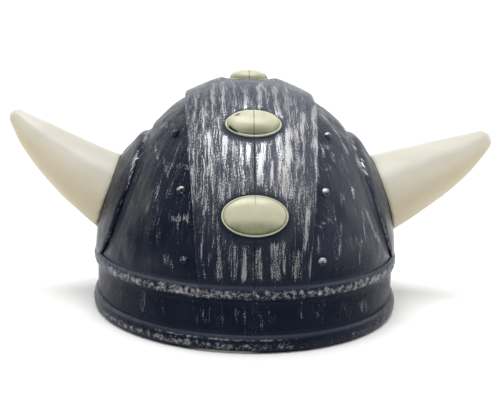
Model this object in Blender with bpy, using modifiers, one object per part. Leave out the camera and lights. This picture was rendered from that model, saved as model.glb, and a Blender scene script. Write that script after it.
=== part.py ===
"""A horned, banded costume helmet: a thin moulded crown with two round beads
round the brow, a wide raised band from front to back over the top, a round
raised plate at each side that carries a hollow horn, and five oval studs set in
dished seats along the band.

Frame: metres, +Z up, the wearer looks along -Y, +X is the left-hand horn seen
by the wearer. The origin is the middle of the head opening, on the plane that
the rim rests on.
"""

import math

import bmesh
import bpy
from mathutils import Matrix, Vector

MM = 0.001
NAME = "horned_helmet"

# ---------------------------------------------------------------- sizes in mm
GAP = 0.3                # between pieces that sit on each other
WALL = 2.0               # moulded wall of the crown
HORN_WALL = 1.8

# Crown: every level section is an ellipse, wider front to back.
DEPTH_RATIO = 1.15       # front-to-back axis over side-to-side axis
BROW_HALF = 97.4         # half width of the dome's foot
BROW_WALL = 98.0         # half width of the brow wall between the beads
DOME_FOOT = 34.0         # height at which the dome starts
DOME_RISE = 111.9        # from there to the top of the panels

# Two beads round the brow: half width of the crest, height of its middle,
# half its height.
BEADS = {
    #        crest   middle  half_height
    "upper": (100.3, 34.0, 4.4),
    "lower": (100.9, 5.4, 5.4),
}
RIM_FLAT = 98.0          # outer edge of the flat underside of the rim

# Raised band over the top. Its edge runs further out towards the top.
BAND_RAISE_FOOT = 2.6
BAND_RAISE_TOP = 3.5
BAND_EDGE = [
    # height, half_width
    (37.0, 32.0),
    (58.0, 33.7),
    (78.0, 35.3),
    (92.0, 36.8),
    (108.0, 38.2),
    (119.0, 39.3),
    (130.0, 41.0),
    (154.0, 43.3),
]

# Round side plates, centred on the horn's seat.
PLATE_RAISE_FOOT = 2.0
PLATE_RAISE_TOP = 2.6
PLATE_HALF_WIDTH = 54.5  # front to back
PLATE_HALF_HEIGHT = 44.5
PLATE_LIFT = 2.5         # middle of the plate above the horn's seat
PLATE_SQUARENESS = 2.4   # 2 is an ellipse
SEAT_OUT = 91.2          # centre of the horn's seat from the middle plane
SEAT_UP = 73.0
SEAT_TILT = 18.7         # degrees that the plate faces up

# Moulded rivet heads beside the band, a row each; the same four times round.
RIVET_RADIUS = 2.7
RIVET_HEIGHT = 2.1
RIVETS = [
    # out, height
    (46.0, 117.0),
    (41.6, 87.9),
    (39.2, 50.6),
]

# Oval studs on the middle of the band. The angle is measured from the dome's
# foot in front (0) over the top (90) to its foot behind (180).
STUDS = [
    # name, angle, half_width, half_height, dome_rise
    ("stud_front_lower", 22.3, 18.9, 11.9, 6.0),
    ("stud_front_upper", 53.2, 16.7, 11.0, 6.0),
    ("stud_top", 91.0, 13.8, 11.0, 6.7),
    ("stud_rear_upper", 126.8, 16.7, 11.0, 6.0),
    ("stud_rear_lower", 157.7, 18.9, 11.9, 6.0),
]
STUD_LIP = 1.3           # width of the flat lip round the dome
STUD_LIP_THICK = 1.0
SEAT_DEPTH = 2.3         # flat floor of a stud's seat below the band's crest
SEAT_RIM = 4.2           # how far the dished rim spreads round the stud

# Horns: centre line and radius, from inside the plate to the tip.
HORN_RIGHT = [
    # out, up, radius
    (80.0, 69.0, 28.0),
    (89.4, 73.5, 26.6),
    (105.3, 80.9, 23.5),
    (122.8, 89.3, 19.6),
    (139.6, 98.3, 14.8),
    (153.3, 106.9, 9.1),
    (159.7, 112.3, 4.3),
]
HORN_LEFT = [
    (74.0, 65.4, 29.2),
    (82.3, 69.1, 27.3),
    (96.5, 76.8, 23.5),
    (112.3, 87.3, 20.1),
    (127.5, 99.0, 15.9),
    (140.9, 110.3, 10.5),
    (152.8, 122.0, 3.5),
]
PEG_RADIUS = 9.0         # peg that fixes the horn through the plate
PEG_VENT = 1.6           # radius of the vent hole through it into the hollow horn
PEG_PROUD = 1.6          # how far the peg shows inside the crown

ROUND_STEPS = 44         # facets round the crown
DOME_ROWS = 9


# ------------------------------------------------------------------- helpers
def clear_scene():
    for obj in list(bpy.data.objects):
        bpy.data.objects.remove(obj, do_unlink=True)


def collection(name):
    found = bpy.data.collections.new(name)
    bpy.context.scene.collection.children.link(found)
    return found


def add(name, mesh, home):
    obj = bpy.data.objects.new(name, mesh)
    home.objects.link(obj)
    return obj


def bake(obj):
    """Replace an object's mesh by its evaluated one."""
    graph = bpy.context.evaluated_depsgraph_get()
    mesh = bpy.data.meshes.new_from_object(obj.evaluated_get(graph))
    obj.modifiers.clear()
    obj.data = mesh
    return obj


def combine(obj, other, operation):
    """Join, cut or intersect one closed body with another, and drop the other."""
    step = obj.modifiers.new(operation.lower(), "BOOLEAN")
    step.operation = operation
    step.solver = "EXACT"
    step.object = other
    bpy.context.view_layer.update()
    bake(obj)
    bpy.data.objects.remove(other, do_unlink=True)
    return obj


def turned(name, profile, steps, home, depth_ratio=1.0):
    """A profile in mm, down its outer side, turned about Z and then stretched
    front to back."""
    mesh = bpy.data.meshes.new(name)
    points = [(r * MM, 0.0, z * MM) for r, z in profile]
    mesh.from_pydata(points, [(i, i + 1) for i in range(len(points) - 1)], [])
    obj = add(name, mesh, home)
    screw = obj.modifiers.new("turn", "SCREW")
    screw.axis = "Z"
    screw.angle = 2.0 * math.pi
    screw.steps = steps
    screw.render_steps = steps
    screw.use_merge_vertices = True
    screw.merge_threshold = 0.00001
    bpy.context.view_layer.update()
    bake(obj)
    if depth_ratio != 1.0:
        obj.data.transform(Matrix.Diagonal((1.0, depth_ratio, 1.0, 1.0)))
    return obj


def ellipsoid_profile(half, rise, foot, rows, lowest):
    """Quarter ellipse from its top down to its foot, then down to lowest and in
    to the axis."""
    points = []
    for i in range(rows + 1):
        a = 0.5 * math.pi * i / rows
        points.append((half * math.sin(a), foot + rise * math.cos(a)))
    points[0] = (0.0, foot + rise)
    if lowest < foot:
        points.append((half, lowest))
    points.append((0.0, lowest))
    return points


def raised_form(name, raise_foot, raise_top, home, rows=DOME_ROWS, lowest=24.0):
    """The dome grown outwards (or inwards, for negative values)."""
    half = BROW_HALF + raise_foot
    deep = BROW_HALF * DEPTH_RATIO + raise_foot
    profile = ellipsoid_profile(half, DOME_RISE + raise_top, DOME_FOOT, rows, lowest)
    return turned(name, profile, ROUND_STEPS, home, deep / half)


def prism(name, outline, half_length, home):
    """A flat outline in X and Z, extruded along Y."""
    curve = bpy.data.curves.new(name, "CURVE")
    curve.dimensions = "2D"
    curve.fill_mode = "BOTH"
    curve.extrude = half_length * MM
    spline = curve.splines.new("POLY")
    spline.points.add(len(outline) - 1)
    for point, (x, z) in zip(spline.points, outline):
        point.co = (x * MM, z * MM, 0.0, 1.0)
    spline.use_cyclic_u = True
    obj = add(name, curve, home)
    return as_mesh(obj, Matrix.Rotation(0.5 * math.pi, 4, "X"), home)


def as_mesh(obj, turn, home):
    """A curve object made a mesh with its caps welded."""
    bpy.context.view_layer.update()
    graph = bpy.context.evaluated_depsgraph_get()
    mesh = bpy.data.meshes.new_from_object(obj.evaluated_get(graph))
    name = obj.name
    bpy.data.objects.remove(obj, do_unlink=True)
    shape = bmesh.new()
    shape.from_mesh(mesh)
    bmesh.ops.remove_doubles(shape, verts=shape.verts, dist=0.000001)
    bmesh.ops.recalc_face_normals(shape, faces=shape.faces)
    shape.to_mesh(mesh)
    shape.free()
    mesh.transform(turn)
    return add(name, mesh, home)


def cylinder(name, radius, start, end, home, segments=40, radius_end=None):
    """A round bar in mm between two points."""
    start, end = Vector(start) * MM, Vector(end) * MM
    shape = bmesh.new()
    bmesh.ops.create_cone(
        shape,
        cap_ends=True,
        segments=segments,
        radius1=radius * MM,
        radius2=(radius if radius_end is None else radius_end) * MM,
        depth=(end - start).length,
    )
    mesh = bpy.data.meshes.new(name)
    shape.to_mesh(mesh)
    shape.free()
    turn = (end - start).to_track_quat("Z", "Y").to_matrix().to_4x4()
    mesh.transform(Matrix.Translation((start + end) / 2.0) @ turn)
    return add(name, mesh, home)


def finish(obj, colour, roughness, metallic=0.0, sharp=35.0):
    mesh = obj.data
    mesh.shade_smooth()
    mesh.set_sharp_from_angle(angle=math.radians(sharp))
    mesh.materials.clear()
    material = bpy.data.materials.new(obj.name + "_finish")
    material.use_nodes = True
    shader = material.node_tree.nodes["Principled BSDF"]
    shader.inputs["Base Color"].default_value = (*colour, 1.0)
    shader.inputs["Roughness"].default_value = roughness
    shader.inputs["Metallic"].default_value = metallic
    mesh.materials.append(material)


# --------------------------------------------------------- places on the crown
def dome_point(x, z, raise_foot=0.0, raise_top=0.0, behind=False):
    """Point of the dome at a given x and z, with its outward direction, in mm."""
    a = BROW_HALF + raise_foot
    b = BROW_HALF * DEPTH_RATIO + raise_foot
    c = DOME_RISE + raise_top
    h = z - DOME_FOOT
    y = b * math.sqrt(max(0.0, 1.0 - (x / a) ** 2 - (h / c) ** 2))
    if not behind:
        y = -y
    normal = Vector((x / a**2, y / b**2, h / c**2)).normalized()
    return Vector((x, y, z)), normal


def band_place(angle):
    """Point of the band's middle line, outward direction and the direction
    along the band, in mm."""
    b = BROW_HALF * DEPTH_RATIO + BAND_RAISE_FOOT
    c = DOME_RISE + BAND_RAISE_TOP
    t = math.radians(angle)
    y, h = -b * math.cos(t), c * math.sin(t)
    normal = Vector((0.0, y / b**2, h / c**2)).normalized()
    along = Vector((1.0, 0.0, 0.0)).cross(normal) * -1.0
    return Vector((0.0, y, DOME_FOOT + h)), normal, along


def seat_place(side):
    """Centre of a horn's seat and the way it faces."""
    tilt = math.radians(SEAT_TILT)
    centre = Vector((side * SEAT_OUT, 0.0, SEAT_UP))
    facing = Vector((side * math.cos(tilt), 0.0, math.sin(tilt)))
    return centre, facing


# ----------------------------------------------------------------- the pieces
def crown_profile():
    points = []
    for i in range(DOME_ROWS):
        a = 0.5 * math.pi * i / DOME_ROWS
        r, z = BROW_HALF * math.sin(a), DOME_FOOT + DOME_RISE * math.cos(a)
        if z > DOME_FOOT + BEADS["upper"][2]:
            points.append((r, z))
    points[0] = (0.0, DOME_FOOT + DOME_RISE)
    for name in ("upper", "lower"):
        crest, middle, half = BEADS[name]
        for i in range(7):
            a = math.pi * i / 6
            foot = BROW_HALF if name == "upper" and i < 3 else BROW_WALL
            r = foot + (crest - foot) * math.sin(a) ** 0.8
            z = middle + half * math.cos(a)
            if name == "lower" and i == 6:
                r, z = RIM_FLAT, 0.0
            points.append((r, z))
    points.append((0.0, 0.0))
    return points


def band_outline(inset=0.0, lowest=37.0):
    right = [(w - inset, max(z, lowest)) for z, w in BAND_EDGE]
    left = [(-x, z) for x, z in reversed(right)]
    return right + left


def band(name, raise_foot, raise_top, inset, lowest, home):
    form = raised_form(name, raise_foot, raise_top, home)
    return combine(form, prism(name + "_outline", band_outline(inset, lowest), 140.0, home), "INTERSECT")


def plate_block(name, side, inset, home, sides=40):
    """The plate's rounded outline, extruded along the way the horn's seat faces."""
    curve = bpy.data.curves.new(name, "CURVE")
    curve.dimensions = "2D"
    curve.fill_mode = "BOTH"
    curve.extrude = 42.0 * MM
    spline = curve.splines.new("POLY")
    spline.points.add(sides - 1)
    for i, point in enumerate(spline.points):
        a = 2.0 * math.pi * i / sides
        c, s = math.cos(a), math.sin(a)
        power = 2.0 / PLATE_SQUARENESS
        x = (PLATE_HALF_WIDTH - inset) * math.copysign(abs(c) ** power, c)
        y = (PLATE_HALF_HEIGHT - inset) * math.copysign(abs(s) ** power, s) + PLATE_LIFT
        point.co = (x * MM, y * MM, 0.0, 1.0)
    spline.use_cyclic_u = True
    centre, facing = seat_place(side)
    up = Vector((-side * facing.z, 0.0, abs(facing.x)))
    across = up.cross(facing)
    turn = Matrix((across, up, facing)).transposed().to_4x4()
    turn.translation = centre * MM
    return as_mesh(add(name, curve, home), turn, home)


def plate(name, side, raise_foot, raise_top, inset, lowest, home):
    form = raised_form(name, raise_foot, raise_top, home, lowest=lowest)
    return combine(form, plate_block(name + "_outline", side, inset, home), "INTERSECT")


def stud_frame(angle, depth=0.0):
    """Matrix that puts local X across the band, Y along it, Z outwards."""
    place, normal, along = band_place(angle)
    place = (place - normal * depth) * MM
    m = Matrix((Vector((1.0, 0.0, 0.0)), along, normal)).transposed().to_4x4()
    m.translation = place
    return m


def oval_solid(name, profile, half_width, half_height, angle, depth, home, steps=24):
    """A turned profile, whose radii are growths of the oval, placed on the band.
    Radii in the profile are in mm from the oval's edge; the oval shrinks to the
    middle in proportion."""
    top = profile[0][1]
    base = half_height
    obj = turned(name, [(max(0.0, base + r), z) for r, z in profile], steps, home)
    for v in obj.data.vertices:
        r = math.hypot(v.co.x, v.co.y) / MM
        if r > 1e-6:
            grow = r / base
            x, y = v.co.x / (r * MM), v.co.y / (r * MM)
            if r <= base:
                v.co.x = x * half_width * grow * MM
                v.co.y = y * half_height * grow * MM
            else:
                v.co.x = x * (half_width + r - base) * MM
                v.co.y = y * (half_height + r - base) * MM
    obj.data.transform(stud_frame(angle, depth))
    return obj


def build_crown(home, tools):
    crown = turned("crown", crown_profile(), ROUND_STEPS, home, DEPTH_RATIO)
    combine(crown, band("band", BAND_RAISE_FOOT, BAND_RAISE_TOP, 0.0, 35.0, tools), "UNION")
    for side in (-1.0, 1.0):
        combine(crown, plate("plate", side, PLATE_RAISE_FOOT, PLATE_RAISE_TOP, 0.0, 34.0, tools), "UNION")

    # Moulded rivet heads.
    for out, z in RIVETS:
        for side in (-1.0, 1.0):
            for behind in (False, True):
                place, normal = dome_point(side * out, z, behind=behind)
                shape = bmesh.new()
                bmesh.ops.create_uvsphere(shape, u_segments=8, v_segments=6, radius=MM)
                mesh = bpy.data.meshes.new("rivet")
                shape.to_mesh(mesh)
                shape.free()
                mesh.transform(Matrix.Diagonal((RIVET_RADIUS, RIVET_RADIUS, RIVET_HEIGHT, 1.0)))
                turn = normal.to_track_quat("Z", "Y").to_matrix().to_4x4()
                mesh.transform(Matrix.Translation(place * MM) @ turn)
                combine(crown, add("rivet", mesh, tools), "UNION")

    # The hollow follows the outside, the band and the plates included, and
    # leaves a pad behind each stud's seat.
    inner = ellipsoid_profile(BROW_HALF - WALL, DOME_RISE - WALL, DOME_FOOT, DOME_ROWS, -6.0)
    hollow = turned(
        "hollow", inner, ROUND_STEPS, tools,
        (BROW_HALF * DEPTH_RATIO - WALL) / (BROW_HALF - WALL),
    )
    groove = band("groove", BAND_RAISE_FOOT - WALL, BAND_RAISE_TOP - WALL, WALL, 42.0, tools)
    for name, angle, half_width, half_height, rise in STUDS:
        pad = oval_solid(
            "pad", [(-99.0, 4.0), (SEAT_RIM, 4.0), (SEAT_RIM, -9.0), (-99.0, -9.0)],
            half_width, half_height, angle, 0.0, tools, steps=24,
        )
        combine(groove, pad, "DIFFERENCE")
    combine(hollow, groove, "UNION")
    for side in (-1.0, 1.0):
        dish = plate("dish", side, PLATE_RAISE_FOOT - WALL, PLATE_RAISE_TOP - WALL, WALL, 42.0, tools)
        combine(hollow, dish, "UNION")
    combine(crown, hollow, "DIFFERENCE")

    # Dished seats for the studs, flat at the bottom.
    for name, angle, half_width, half_height, rise in STUDS:
        seat = oval_solid(
            "seat", [(-99.0, 6.0), (SEAT_RIM + 1.5, 6.0), (SEAT_RIM, 2.0), (GAP, 0.0), (-99.0, 0.0)],
            half_width, half_height, angle, SEAT_DEPTH, tools,
        )
        combine(crown, seat, "DIFFERENCE")

    # Holes for the horns' pegs.
    for side in (-1.0, 1.0):
        centre, facing = seat_place(side)
        hole = cylinder("peg_hole", PEG_RADIUS + GAP, centre - facing * 20.0, centre + facing * 20.0, tools, 24)
        combine(crown, hole, "DIFFERENCE")
    finish(crown, (0.020, 0.024, 0.046), 0.38)
    return crown


def through(rows, count):
    """Smooth curve through the rows of a table, in equal steps."""
    points = [Vector(row) for row in rows]
    points = [points[0] * 2 - points[1]] + points + [points[-1] * 2 - points[-2]]
    spans = len(rows) - 1
    result = []
    for i in range(count + 1):
        u = spans * i / count
        k = min(int(u), spans - 1)
        t = u - k
        p0, p1, p2, p3 = points[k : k + 4]
        result.append(
            0.5
            * (
                2 * p1
                + (p2 - p0) * t
                + (2 * p0 - 5 * p1 + 4 * p2 - p3) * t * t
                + (3 * p1 - p0 - 3 * p2 + p3) * t**3
            )
        )
    return result


def horn_body(name, rows, side, thinner, home, sides=18):
    """Tapering bent bar with a round tip; thinner takes that much off all over."""
    line = through(rows, 11)
    last, before = line[-1], line[-2]
    step = Vector((last.x - before.x, last.y - before.y))
    step.normalize()
    tip = last.z
    for a in (25.0, 50.0, 72.0):
        t = math.radians(a)
        out = tip * math.sin(t)
        line.append(Vector((last.x + step.x * out, last.y + step.y * out, tip * math.cos(t))))
    line = [p for p in line if p.z - thinner > 1.0]
    curve = bpy.data.curves.new(name, "CURVE")
    curve.dimensions = "3D"
    curve.twist_mode = "Z_UP"
    curve.bevel_depth = MM
    curve.bevel_resolution = (sides - 4) // 2
    curve.use_fill_caps = True
    spline = curve.splines.new("POLY")
    spline.points.add(len(line) - 1)
    for point, p in zip(spline.points, line):
        point.co = (side * p.x * MM, 0.0, p.y * MM, 1.0)
        point.radius = p.z - thinner
    return as_mesh(add(name, curve, home), Matrix.Identity(4), home)


def build_horn(name, rows, side, home, tools):
    horn = horn_body(name, rows, side, 0.0, home)
    cavity = horn_body("cavity", rows, side, HORN_WALL, tools, 16)
    shell = raised_form("seat_cut", PLATE_RAISE_FOOT + GAP, PLATE_RAISE_TOP + GAP, tools, lowest=20.0)
    combine(horn, shell, "DIFFERENCE")
    keep = raised_form(
        "end_wall", PLATE_RAISE_FOOT + GAP + HORN_WALL, PLATE_RAISE_TOP + GAP + HORN_WALL, tools, lowest=20.0
    )
    combine(cavity, keep, "DIFFERENCE")

    # The peg stands in the end wall and passes through the plate.
    centre, facing = seat_place(side)
    tilt = math.radians(SEAT_TILT)
    a, c = BROW_HALF + PLATE_RAISE_FOOT, DOME_RISE + PLATE_RAISE_TOP
    # distance from the seat's centre out to the plate's face, along the peg
    face = 0.0
    while True:
        p = centre + facing * face
        if (p.x / a) ** 2 + ((p.z - DOME_FOOT) / c) ** 2 >= 1.0:
            break
        face += 0.05
    peg = cylinder("peg", PEG_RADIUS, centre + facing * (face - WALL - PEG_PROUD), centre + facing * (face + 1.2), tools, 24)
    combine(horn, peg, "UNION")
    combine(horn, cavity, "DIFFERENCE")
    vent = cylinder("vent", PEG_VENT, centre + facing * (face - 12.0), centre + facing * (face + 6.0), tools, 12)
    combine(horn, vent, "DIFFERENCE")
    finish(horn, (0.640, 0.600, 0.480), 0.42, sharp=50.0)
    return horn


def build_stud(name, angle, half_width, half_height, rise, home):
    """Domed oval with a flat lip round it, resting on the floor of its seat."""
    dome = half_height - STUD_LIP - 0.4
    profile = []
    rows = 4
    for i in range(rows + 1):
        a = 0.5 * math.pi * i / rows
        r = dome * math.sin(a) ** 0.95
        z = STUD_LIP_THICK - 0.3 + (rise - STUD_LIP_THICK + 0.3) * math.cos(a) ** 0.9
        profile.append((r - half_height, z))
    profile[0] = (-99.0, rise)
    profile += [
        (-STUD_LIP, STUD_LIP_THICK),
        (-0.4, STUD_LIP_THICK),
        (0.0, STUD_LIP_THICK * 0.6),
        (0.0, 0.0),
        (-99.0, 0.0),
    ]
    stud = oval_solid(name, profile, half_width, half_height, angle, SEAT_DEPTH - GAP, home)
    finish(stud, (0.620, 0.600, 0.430), 0.30, sharp=40.0)
    return stud


def main():
    clear_scene()
    home = collection(NAME)
    tools = collection("cutters")
    build_crown(home, tools)
    build_horn("horn_left", HORN_LEFT, -1.0, home, tools)
    build_horn("horn_right", HORN_RIGHT, 1.0, home, tools)
    for row in STUDS:
        build_stud(*row, home)


main()
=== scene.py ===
"""Looks of the horned, banded costume helmet: the moulded crown with its painted
and dry-brushed finish, the bare horns and the oval studs, on a plain pale sweep.

Metres in the objects, millimetres in the tables and while shapes are worked out.
"""

import math
import random

import bmesh
import bpy
import numpy as np
from mathutils import Matrix, Vector, noise


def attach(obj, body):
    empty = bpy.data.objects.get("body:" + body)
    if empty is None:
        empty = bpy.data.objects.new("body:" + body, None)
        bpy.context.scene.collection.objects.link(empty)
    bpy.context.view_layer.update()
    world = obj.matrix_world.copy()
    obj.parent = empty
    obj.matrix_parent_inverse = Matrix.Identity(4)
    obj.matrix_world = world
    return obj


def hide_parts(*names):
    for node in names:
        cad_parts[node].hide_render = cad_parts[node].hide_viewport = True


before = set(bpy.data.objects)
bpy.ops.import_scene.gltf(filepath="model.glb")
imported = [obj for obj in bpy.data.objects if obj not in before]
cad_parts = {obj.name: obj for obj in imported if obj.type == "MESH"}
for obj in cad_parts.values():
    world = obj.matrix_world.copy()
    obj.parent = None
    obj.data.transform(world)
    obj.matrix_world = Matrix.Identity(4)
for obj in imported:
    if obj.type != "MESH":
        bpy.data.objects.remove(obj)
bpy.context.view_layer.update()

MM = 0.001

# ------------------------------------------------ sizes shared with the solids
GAP = 0.3
WALL = 2.0
HORN_WALL = 1.8
DEPTH_RATIO = 1.15
BROW_HALF = 97.4
BROW_WALL = 98.0
DOME_FOOT = 34.0
DOME_RISE = 111.9
BEADS = {
    #        crest   middle  half_height
    "upper": (100.3, 34.0, 4.4),
    "lower": (100.9, 5.4, 5.4),
}
RIM_FLAT = 98.0
BAND_RAISE_FOOT = 2.6
BAND_RAISE_TOP = 3.5
BAND_EDGE = [
    # height, half_width
    (37.0, 32.0),
    (58.0, 33.7),
    (78.0, 35.3),
    (92.0, 36.8),
    (108.0, 38.2),
    (119.0, 39.3),
    (130.0, 41.0),
    (154.0, 43.3),
]
PLATE_RAISE_FOOT = 2.0
PLATE_RAISE_TOP = 2.6
PLATE_HALF_WIDTH = 54.5
PLATE_HALF_HEIGHT = 44.5
PLATE_LIFT = 2.5
PLATE_SQUARENESS = 2.4
SEAT_OUT = 91.2
SEAT_UP = 73.0
SEAT_TILT = 18.7
RIVET_RADIUS = 2.9
RIVET_HEIGHT = 2.5
RIVETS = [
    # out, height
    (46.0, 117.0),
    (41.6, 87.9),
    (39.2, 50.6),
]
STUDS = [
    # name, angle, half_width, half_height, dome_rise
    ("stud_front_lower", 22.3, 18.9, 11.9, 6.0),
    ("stud_front_upper", 53.2, 16.7, 11.0, 6.0),
    ("stud_top", 91.0, 13.8, 11.0, 6.7),
    ("stud_rear_upper", 126.8, 16.7, 11.0, 6.0),
    ("stud_rear_lower", 157.7, 18.9, 11.9, 6.0),
]
# the finish paints these gaps near-black as painted shadow
STUD_GAPS = [
    # name, from_angle, to_angle, inner_edge, outer_edge (in from the outline)
    ("stud_front_upper", -176.0, -116.0, 0.95, 2.1),
    ("stud_front_upper", 112.0, 142.0, 0.4, 1.4),
    ("stud_top", -38.0, 34.0, 0.7, 2.9),
]
SHEEN_PATCHES = [
    # x, y, half_width, half_height, share: soft olive-grey patches of painted sheen on the front
    (144.0, 196.0, 7.5, 22.0, 0.42),
    (133.0, 212.0, 5.0, 16.0, 0.30),
    (363.0, 200.0, 6.0, 18.0, 0.36),
    (150.0, 262.0, 10.0, 10.0, 0.14),
    (356.0, 246.0, 8.0, 8.0, 0.20),
]
STUD_MARKS = [
    # x0, y0, x1, y1, width: dark nicks seen on the front, in frame pixels
    (235.2, 115.4, 239.6, 113.8, 1.3),
]
STUD_LIP = 1.15
STUD_LIP_THICK = 1.0
SEAT_DEPTH = 2.3
SEAT_RIM = 4.2
HORN_RIGHT = [
    # out, up, radius
    (80.0, 69.0, 28.0),
    (89.4, 73.5, 26.6),
    (105.3, 80.9, 23.5),
    (122.8, 89.3, 19.6),
    (139.6, 98.3, 14.8),
    (152.6, 106.5, 9.7),
    (158.9, 111.1, 6.6),
]
HORN_LEFT = [
    (74.0, 65.4, 29.2),
    (82.3, 69.1, 27.3),
    (96.5, 76.8, 23.5),
    (112.3, 87.3, 20.1),
    (127.5, 99.0, 15.9),
    (140.7, 110.4, 11.0),
    (151.6, 121.2, 5.2),
]
PEG_RADIUS = 9.0
PEG_VENT = 1.6
PEG_PROUD = 1.6

# --------------------------------------------------------------- the viewpoint
EYE = np.array([-30.33, -609.25, 177.85])
RIGHT = np.array([0.998487, -0.049882, 0.023152])
UP = np.array([-0.013483, 0.186106, 0.982437])
BACK = np.array([-0.053315, -0.981263, 0.185152])
FOCAL = 922.17            # in pixels of a 500 x 413 frame
FRAME_W, FRAME_H = 500.0, 413.0
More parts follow.
